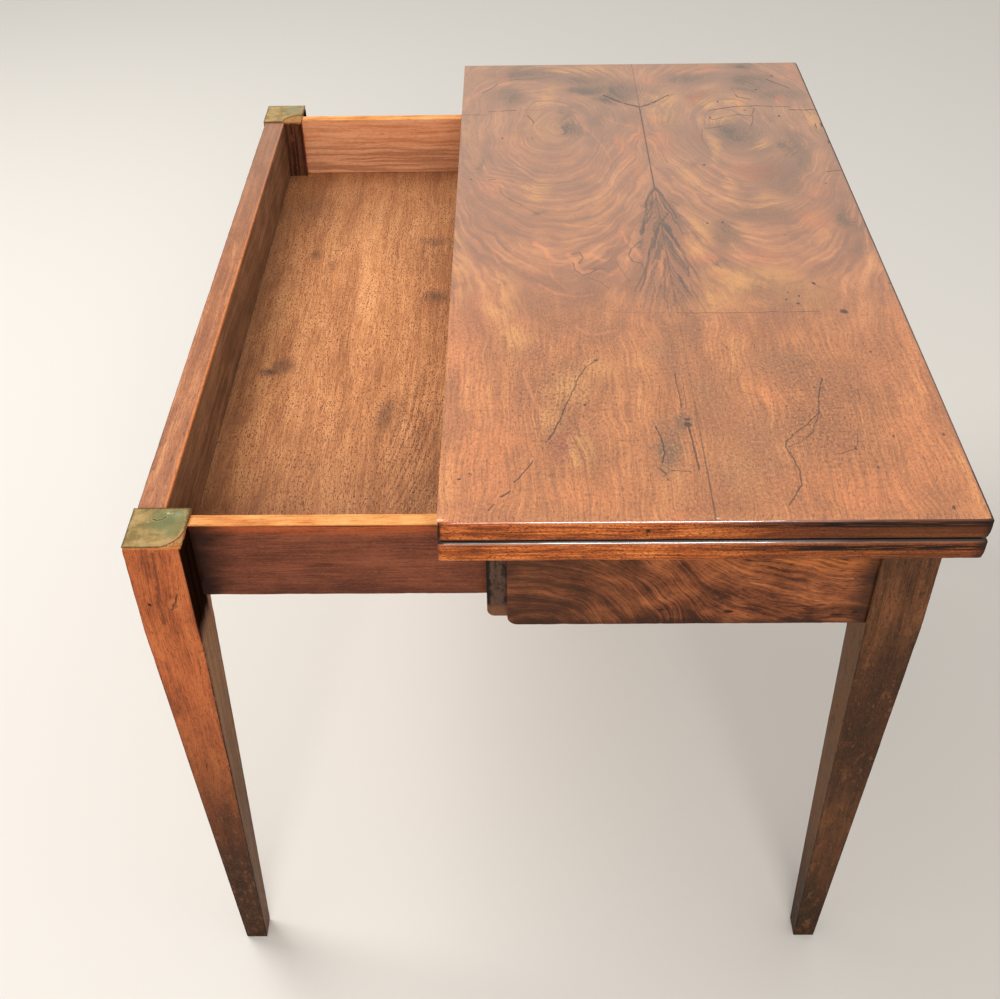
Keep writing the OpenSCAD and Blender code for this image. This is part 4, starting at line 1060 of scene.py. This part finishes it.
# Radii of the lower corners at the free ends: the rail's in the construction, and both as worn
CORNER_CAD = 6.0
RAIL_CORNER = 11.0
TONGUE_CORNER = 8.5
# How far the tongue stands out of the rail
TONGUE_LENGTH = 20.5
# Dark nicks of a short rail, from the tongue's root and from the lower edge: centre and radii
RAIL_NICKS = [
    (322, 12, 9, 1.6), (340, 15, 5, 2), (306, 26, 6, 1),
    (216, 17, 7, 3), (286, 24, 24, 1), (150, 20, 4, 1.4),
]


def short_rail_material(node, low, shoulder):
    """Crotch grain under wax, with a dark rubbed tongue."""
    graph = Surface(node, Specular_IOR_Level=0.12)
    x, y, z = graph.at
    tongue_end = low.x / MM + TONGUE_LENGTH
    a = x - tongue_end
    h = z - low.z / MM
    at = graph.place(a, h)
    warp = graph.noises(a / 60, y / 40, h / 44, 1)
    arcs = graph.vector("DISTANCE", at, (20, -40, 0), output=1) + warp[0].swing(26)
    drop = graph.math("EXPONENT", (186 - a) / 34) * 26 + 44 - (a - 186) * 0.16
    fans = 200 + (h - drop) * 0.7 + warp[1].swing(18)
    sweep = graph.between((a + warp[2].swing(50) + h * 0.2).rise(150, 225), arcs, fans)
    broad = graph.noise(sweep / 15, a / 240, y / 50, 2)
    bands = graph.noise(sweep / 4.6, a / 150, y / 40, 4, 0.68)
    fine = graph.noise(sweep / 1.2, a / 30, y / 20, 2)
    patch = graph.noise(a / 40, y / 50, h / 26, 4, 0.6)
    tone = broad * 0.2 + bands * 0.22 + fine * 0.22 + patch * 0.40
    graph.colour = graph.ramp(tone, 0.40, 0.68, (0.0, 56, 29, 16), (0.4, 116, 63, 36),
                              (0.75, 150, 86, 50), (1.0, 186, 108, 60))
    thread = graph.noise(sweep / 2.2, a / 110, 4.0, 1).rise(0.64, 0.74)
    threaded = a.rise(330, 200) * a.rise(60, 110)
    graph.paint(thread * threaded * 0.5, (190, 104, 52))
    lit = graph.spot(at, (292, 92), (150, 34), soft=0.95)
    graph.paint(lit * bands.rise(0.38, 0.56) * 0.75, (196, 112, 54))
    pores = graph.noise(sweep / 0.9, a / 7, y / 3, 1).rise(0.56, 0.70)
    graph.paint(pores * 0.55, (38, 20, 12))
    graph.grit(0.3, (2, 1, 1), pale=(176, 100, 56))
    # Painted shade: a shadow beside the leg, shade at the top left under the leaf, at the lower left and
    # along the lower edge, all laid on below as the gloom.
    near_leg = (x + patch.swing(20)).rise(shoulder - 30, shoulder - 3)
    top_left = graph.spot(at, (24, 96), (120, 44), soft=0.95)
    low_left = graph.spot(at, (60, 28), (96, 30), soft=0.95) * bands.rise(0.42, 0.58)
    swathe = graph.noise(sweep / 9, a / 120, 1.0, 3).rise(0.46, 0.58) * a.rise(200, 60)
    graph.paint(swathe * 0.55, (52, 30, 18))
    foot_line = (h + patch.swing(16)).rise(11, 1)
    gloom = graph.high(graph.high(near_leg, top_left * 0.7),
                       graph.high(foot_line * 0.75, low_left * 0.7))
    graph.paint(a.rise(180, 10) * 0.45, (60, 36, 23))
    graph.paint(gloom * 0.8, (36, 20, 13))
    for *centre, long, tall in RAIL_NICKS:
        graph.paint(graph.spot(at, centre, (long, tall), soft=0.6) * 0.85, (22, 12, 8))
    smear = graph.noise(x / 6, y / 6, z / 13, 5, 0.72)
    tongue = graph.mix(smear.rise(0.36, 0.60), (34, 22, 16), (84, 60, 47))
    rim = (x + smear.swing(12)).rise(low.x / MM + 6, low.x / MM + 2)
    tongue = graph.mix(rim, tongue, (20, 12, 8))
    worn_end = (h + smear.swing(26)).rise(22, 14)
    tongue = graph.mix(worn_end * 0.7, tongue, (120, 76, 50))
    on_tongue = x.rise(tongue_end, tongue_end - 0.6)
    graph.paint(on_tongue, tongue)
    return graph.finish(0.42 + fine * 0.2, fine * 0.3 + bands * 0.3 - pores * 0.6, 0.14)


def short_rails():
    """The two fixed rails with a free end, whose lower corners are worn round."""
    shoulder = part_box("leg_front_right")[0].x / MM
    for node in ("rail_front", "rail_back"):
        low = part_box(node)[0]
        points = [vertex.co for vertex in NODES[node].data.vertices]
        rail_end = min(point.x for point in points if point.z < low.z + 0.02 * MM) - CORNER_CAD * MM
        tongue_low = min(point.z for point in points if point.x < rail_end - 10 * MM)
        corners = [((0, rail_end, 1), (2, low.z, 1), RAIL_CORNER * MM),
                   ((0, low.x, 1), (2, tongue_low, 1), TONGUE_CORNER * MM)]
        piece = worn_piece(node, (4, None, 6), bevel=0.8, shortest=10, skip=[(0, shoulder * MM)],
                           reach=4, dents=0.5, waves=0.15, seed=3 + low.y, corners=corners)
        dress(piece, short_rail_material(node, low, shoulder))


def right_rail():
    """The long rail between the fixed legs."""
    piece = long_rail("rail_right", "leg_front_right", (None, 12, 12), 1.0, dents=0.4, seed=9)
    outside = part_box("rail_right")[1].x / MM
    graph = Surface("rail_right", Specular_IOR_Level=0.15)
    grain = Grain(graph, "Y", seed=40, band=7)
    tone = grain.broad * 0.3 + grain.bands * 0.3 + grain.fine * 0.2 + grain.mottle * 0.3
    graph.colour = graph.ramp(tone, 0.42, 0.70, (0.0, 58, 28, 14), (0.45, 110, 58, 31), (1.0, 158, 90, 50))
    graph.paint(grain.pores * 0.5, (38, 20, 12))
    graph.grit(0.3, (1, 2, 1))
    inner = graph.x.rise(outside - 4, outside - 8)
    graph.paint(inner * 0.7, (140, 102, 70))
    wood = graph.finish(0.40 + grain.fine * 0.2, grain.fine * 0.3 - grain.pores * 0.5, 0.14)
    dress(piece, wood)


def slide_rail_material(node, low, high, inner_leg):
    """Bare wood on top and inside, dark and streaked outside: a painted sunlit tone on the top and a
    painted shaded tone on the outer face.
    """
    graph = Surface(node, Specular_IOR_Level=0.12)
    x, y, z = graph.at
    grain = Grain(graph, "X", seed=low.y * 50, sway=12, band=6, fine=1.2, pore=(0.6, 10))
    top = high.z / MM
    tone = grain.bands * 0.3 + grain.fine * 0.3 + grain.mottle * 0.5
    # Painted light and shade: a shaded copy of the wood for the outer face and a sunlit copy for the top.
    shade = graph.ramp(tone, 0.40, 0.70, (0.0, 98, 50, 33), (0.5, 114, 60, 40), (1.0, 132, 72, 48))
    sunny = graph.ramp(tone, 0.40, 0.68, (0.0, 196, 118, 60), (0.5, 230, 152, 84), (1.0, 246, 180, 108))
    waves = graph.noise(x / 120, y / 40, (z + grain.mottle.swing(8)) / 5.0, 3)
    inner = graph.ramp(waves, 0.30, 0.70, (0.0, 212, 136, 90), (0.45, 232, 158, 112),
                       (1.0, 240, 172, 126))
    lower = (z + grain.mottle.swing(26)).rise(top - 24, top - 56)
    inner = graph.mix(lower * (0.2 + waves.rise(0.58, 0.42) * 0.5), inner, (172, 120, 88))
    outward = abs(y) - min(abs(low.y), abs(high.y)) / MM
    thick = (high.y - low.y) / MM
    outer_face = outward.rise(thick - 1.6, thick - 0.7) * z.rise(top - 1.2, top - 3.2)
    inner_face = outward.rise(1.3, 0.5) * z.rise(top - 0.6, top - 1.8)
    graph.colour = graph.mix(outer_face, sunny, shade)
    graph.paint(inner_face, inner)
    rusty = outer_face * (z + grain.mottle.swing(12)).rise(top - 18, top - 3)
    graph.paint(rusty * 0.75, (178, 84, 38))
    split = abs(z - (top - 3.4) + grain.bands.swing(5)).rise(0.8, 0.3)
    split = split * outward.rise(thick - 3, thick - 1.5) * grain.broad.rise(0.40, 0.48)
    graph.paint(split * 0.8, (60, 30, 20))
    lines = graph.noise(x / 60, 3.0, (z + grain.mottle.swing(6)) / 2.1, 4, 0.7)
    graph.paint(outer_face * lines.rise(0.50, 0.66) * 0.6, (58, 28, 19))
    graph.paint(outer_face * lines.rise(0.46, 0.32) * 0.3, (156, 90, 62))
    specks = graph.noise(x / 3.4, 5.0, z / 1.6, 1).rise(0.70, 0.78)
    graph.paint(outer_face * specks * 0.8, (26, 13, 9))
    graph.paint(grain.pores * 0.3, (50, 26, 18))
    graph.grit(0.2, (3, 1, 1))
    # Painted shade on the outer face: a shadow next to the leg, and shade along the lower edge.
    foot = (z + grain.mottle.swing(20)).rise(low.z / MM + 26, low.z / MM)
    near_leg = (x + grain.mottle.swing(40)).rise(inner_leg / MM + 46, inner_leg / MM + 4)
    graph.paint(outer_face * graph.high(foot * 0.4, near_leg * 0.9), (24, 14, 10))
    return graph.finish(0.46 + grain.fine * 0.18, grain.fine * 0.4 - grain.pores * 0.6 - split, 0.14)


def slide_rails():
    """The two thin rails that run inside the fixed ones."""
    inner_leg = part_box("leg_front_left")[1].x
    for node in ("slide_rail_front", "slide_rail_back"):
        low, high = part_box(node)
        show = (Vector((inner_leg, low.y, low.z)), high)
        piece = worn_piece(node, (7, None, 12), box=show, bevel=1.5, shortest=60, skip=[(0, inner_leg)],
                           reach=4, dents=0.6, waves=0.15, seed=17 + low.y)
        dress(piece, slide_rail_material(node, low, high, inner_leg))


def left_rail():
    """The long rail between the sliding legs, with a rubbed top."""
    piece = long_rail("rail_left", "leg_front_left", (None, 8, 12), 1.5, dents=0.7, waves=0.2, seed=23)
    low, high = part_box("rail_left")
    graph = Surface("rail_left", Specular_IOR_Level=0.3)
    x, y, z = graph.at
    grain = Grain(graph, "Y", seed=70, sway=14, band=6, fine=1.3)
    tone = grain.bands * 0.4 + grain.fine * 0.3 + grain.mottle * 0.3
    top = high.z / MM
    upper = graph.ramp(tone, 0.40, 0.68, (0.0, 148, 92, 60), (0.5, 180, 114, 74), (1.0, 204, 142, 96))
    side = graph.ramp(tone, 0.40, 0.68, (0.0, 102, 75, 52), (0.5, 148, 111, 82), (1.0, 178, 136, 104))
    on_top = z.rise(top - 3.4, top - 1.4)
    graph.colour = graph.mix(on_top, side, upper)
    glow = on_top * x.rise(high.x / MM - 4.5, high.x / MM - 1.5)
    graph.paint(glow * 0.7, (222, 130, 66))
    outer = x.rise(low.x / MM + 2.4, low.x / MM + 0.6)
    streaks = graph.noise(y / 60, 3.0, (z + grain.mottle.swing(6)) / 2.6, 4, 0.7)
    warm = graph.ramp(streaks, 0.34, 0.66, (0.0, 74, 38, 25), (0.5, 116, 62, 41), (1.0, 156, 90, 57))
    graph.paint(outer * 0.9, warm)
    graph.paint(grain.pores * 0.55, (58, 32, 22))
    graph.grit(0.25, (1, 3, 1))
    dull = y.rise(-100, 430)
    graph.paint(dull * on_top * 0.5, (132, 108, 92))
    wood = graph.finish(0.44 + grain.fine * 0.2, grain.fine * 0.4 - grain.pores * 0.6, 0.14)
    dress(piece, wood)


# Smudges on the tray's floor, in millimetres in the row frame: centre, radii, strength
TRAY_SOIL = [
    (-313, -72, 24, 26, 1), (-328, -84, 22, 14, 0.9), (-133, 84, 26, 26, 0.8), (-302, 196, 12, 20, 0.7),
    (-277, 168, 11, 20, 0.65), (-140, 230, 40, 24, 0.6), (-178, -172, 22, 46, 0.6),
    (-150, 190, 60, 90, 0.25), (-330, 330, 60, 60, 0.3),
]


def tray():
    """The floor with its open pores and smudges, and the rail at its hidden end."""
    low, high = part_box("tray_floor")
    graph = Surface("tray_floor", Specular_IOR_Level=0.3)
    x, y = graph.x, graph.y
    grain = Grain(graph, "Y", seed=5, sway=20, band=9, fine=1.7, pore=(1.0, 9))
    tone = grain.broad * 0.3 + grain.bands * 0.22 + grain.fine * 0.3 + grain.mottle * 0.22
    graph.colour = graph.ramp(tone, 0.38, 0.68, (0.0, 170, 106, 63), (0.5, 214, 142, 89),
                              (1.0, 240, 170, 112))
    short = graph.noise(x / 1.5, y / 4.2, 7.0, 1).rise(0.58, 0.67)
    patchy = grain.mottle.rise(0.36, 0.62)
    graph.paint(grain.pores * (0.3 + patchy * 0.4), (112, 62, 38))
    graph.paint(short * (0.35 + patchy * 0.5), (80, 43, 27))
    at = graph.place(x, y)
    bent = x + (y + 110) * (y + 110) * 0.00083 + grain.mottle.swing(8)
    region = graph.spot(at, (-140, -230), (62, 190), soft=0.7)
    figure = graph.noise(bent / 4.2, y / 260, 2.0, 1).rise(0.46, 0.60) * region
    graph.paint(figure * 0.3, (118, 68, 42))
    open_pores = graph.noise(x / 1.4, y / 3.4, 3.0, 1).rise(0.52, 0.62)
    graph.paint(open_pores * figure * 0.85, (62, 35, 22))
    soil = None
    for *centre, wide, long, strength in TRAY_SOIL:
        spot = graph.spot(at, centre, (wide, long), soft=0.95) * strength
        soil = graph.high(soil, spot)
    graph.paint(soil * (0.35 + grain.mottle.rise(0.34, 0.56) * 0.5), (76, 54, 42))
    # Painted shade: the floor darkens by the left wall, at the back and towards the front.
    wall = x - low.x / MM
    back = high.y / MM - y
    tray_shade = graph.high((wall + grain.mottle.swing(40)).rise(62, 4), back.rise(330, 20) * 0.8)
    tray_shade = graph.high(tray_shade, back.rise(560, 760) * 0.45)
    graph.paint(tray_shade * 0.58, (100, 66, 44))
    graph.grit(0.22, (1, 2, 1))
    wood = graph.finish(0.55 + grain.fine * 0.15, grain.fine * 0.4 - grain.pores - short, 0.2)
    dress(NODES["tray_floor"], wood)
    end_wood = plain_wood("tray_end_rail", "Y", (116, 72, 48), (160, 106, 70), (190, 136, 92), 33)
    dress(NODES["tray_end_rail"], end_wood)


# Radius of the lower round of a leaf's long edge, as worn
BULLNOSE = 12.4


def leaf_material(node, along, upper, box):
    """Flecked, streaky edges that darken towards the long edge, and a calmer playing face. The darkening at
    the long edge, the lower rounds and the fold is painted shade, and the top arris carries a painted
    highlight.
    """
    graph = Surface(node, Specular_IOR_Level=0.12, Coat_Roughness=0.1, Coat_IOR=2.0)
    x, y, z = graph.at
    seed = 11 if upper else 57
    grain = Grain(graph, along, seed=seed, sway=10, band=4, fine=1.1, pore=(0.9, 3.2))
    tone = grain.bands * 0.34 + grain.fine * 0.36 + grain.mottle * 0.34
    graph.colour = graph.ramp(tone, 0.42, 0.66, (0.0, 116, 54, 23), (0.35, 168, 85, 38),
                              (0.7, 202, 108, 50), (1.0, 228, 138, 70))
    dashes = graph.noise(grain.length / 3.0, z / 1.1, grain.across / 30, 3, 0.74)
    graph.paint(dashes.rise(0.52, 0.62) * 0.85, (50, 22, 11))
    graph.paint(grain.pores * 0.5, (36, 16, 9))
    high = box[1].z / MM
    low = box[0].z / MM
    run = x - X_HINGE / MM if along == "X" else y * 0.2 + 330
    moved = run + grain.mottle.swing(160)
    from_end = LEAF_LENGTH / 2 / MM - abs(y)
    from_side = X_EDGE / MM - x
    outer = (graph.low(from_end, from_side) + grain.fine.swing(3)).rise(7, 3)
    face = abs(z - FOLD).rise(1.3, 0.7) * (1 - outer)
    calm = graph.mix(grain.bands.rise(0.34, 0.62), (92, 50, 30), (142, 86, 52))
    # A paler top arris: partly a rubbed edge, partly a painted highlight.
    rim = (z + grain.mottle.swing(2)).rise(high - 4.4, high - 2.4) * outer
    graph.paint(rim * 0.65, (200, 108, 68) if upper else (190, 122, 86))
    right = moved.rise(210, 400)
    graph.paint(right * (0.85 if upper else 0.6), (70, 38, 20))
    streak = graph.noise(grain.length / 46, z / 1.8, 8.0, 3, 0.62)
    belt = abs(z - (high - (6.0 if upper else 9.0))).rise(5.0, 1.6)
    belt = belt * moved.rise(210, 330) * moved.rise(540, 470)
    graph.paint(streak.rise(0.36, 0.50) * belt, (24, 12, 8))
    graph.paint(streak.rise(0.54, 0.66) * 0.3, (60, 30, 16))
    # Painted shade along the lower round of each leaf's edge.
    below = (z + grain.mottle.swing(5)).rise(low + 7, low + 2)
    graph.paint(below * (0.6 if upper else 0.35), (58, 32, 18))
    graph.paint(face * 0.8, calm)
    # Painted shade in the groove where the two leaves meet, near black.
    fold_shade = (abs(z - FOLD) + grain.fine.swing(1.2)).rise(3.1, 1.8) * outer
    graph.paint(fold_shade * 0.95, (15, 8, 5))
    # Painted shade on the round of the long edge, which turns away from the light.
    end = from_side.rise(7, 1)
    graph.paint(end * 0.6, (30, 17, 10))
    roughness = 0.36 + grain.fine * 0.2 + end * 0.3
    shine = rim * (0.3 + moved.rise(60, 120) * moved.rise(420, 300) * 0.7)
    if along == "X":
        at = graph.place(run, z)
        if node == "leaf_upper_cleat_front":
            stain = graph.spot(at, (0.5, high - 12), (3.2, 14), soft=0.4)
            knot = graph.spot(at, (190, high - 12), (3.4, 3.0), soft=0.7)
            graph.paint(graph.high(stain, knot) * 0.85, (24, 12, 8))
        # Painted shade on the end faces near the long edge, where the corner turns away from the light.
        turned = (from_side + grain.mottle.swing(16)).rise(10 if upper else 18, 2)
        graph.paint(turned * from_end.rise(6, 2) * 0.7, (20, 11, 7))
    graph.feed(graph.shader.inputs["Coat Weight"], shine * (1 - end))
    return graph.finish(roughness, grain.fine * 0.4 - grain.pores * 0.6, 0.12)


def leaves():
    """Cores and cleats, and the linings of the playing faces."""
    chip = ((X_HINGE + 1.5 * MM, Y_FRONT + 0.5 * MM, UPPER_BOX[1].z - 1.5 * MM), 8, 2.6)
    for leaf, box in (("upper", UPPER_BOX), ("lower", LOWER_BOX)):
        upper = leaf == "upper"
        bullnose = ((0, box[1].x, -1), (2, box[0].z, 1), BULLNOSE * MM)
        for part, along in (("core", "Y"), ("cleat_front", "X"), ("cleat_back", "X")):
            node = f"leaf_{leaf}_{part}"
            pitch = (24, 10, None) if along == "Y" else (6, 12, None)
            piece = worn_piece(node, pitch, box=box, reach=5, dents=0.45, waves=0.08, seed=1,
                               spots=[chip] if upper else (), corners=[bullnose])
            dress(piece, leaf_material(node, along, upper, box))
    lining = lining_material()
    for leaf in ("upper", "lower"):
        node = f"leaf_{leaf}_baize"
        piece = worn_piece(node, (9, 9, None), reach=0.4, dents=0.2, waves=0.12, seed=4)
        dress(piece, lining)


def pads():
    """Rubbed squares of green baize on the tops of the sliding legs."""
    for node in ("pad_front", "pad_back"):
        low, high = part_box(node)
        piece = worn_piece(node, (2, 2, None), reach=1.2, dents=0.6, waves=0.3, seed=8 + low.y)
        dress(piece, pad_material(node))


def hidden_parts():
    """What shows only from below or when the table is open: inner woods, screws, nails and hinges."""
    inner = plain_wood("inner_wood", "Y", (118, 80, 50), (160, 116, 74), (190, 146, 98), 90)
    ledge = plain_wood("ledge_wood", "X", (112, 76, 48), (156, 112, 72), (186, 142, 96), 95)
    brass = brass_material()
    iron = iron_material()
    for material, nodes in (
        (inner, ("cross_rail", "glue_blocks")),
        (ledge, ("ledge_front", "ledge_back")),
        (iron, ("block_screws", "rail_screws", "ledge_screws", "tray_nails")),
        (brass, ("hinge_plates_lower", "hinge_plates_upper", "hinge_pins",
                 "hinge_screws_lower", "hinge_screws_upper")),
    ):
        for node in nodes:
            dress(NODES[node], material)


bpy.context.scene.view_settings.view_transform = "Standard"
make_camera()
make_world()
make_light()
make_stage()
legs()
short_rails()
right_rail()
slide_rails()
left_rail()
tray()
veneers()
leaves()
pads()
hidden_parts()
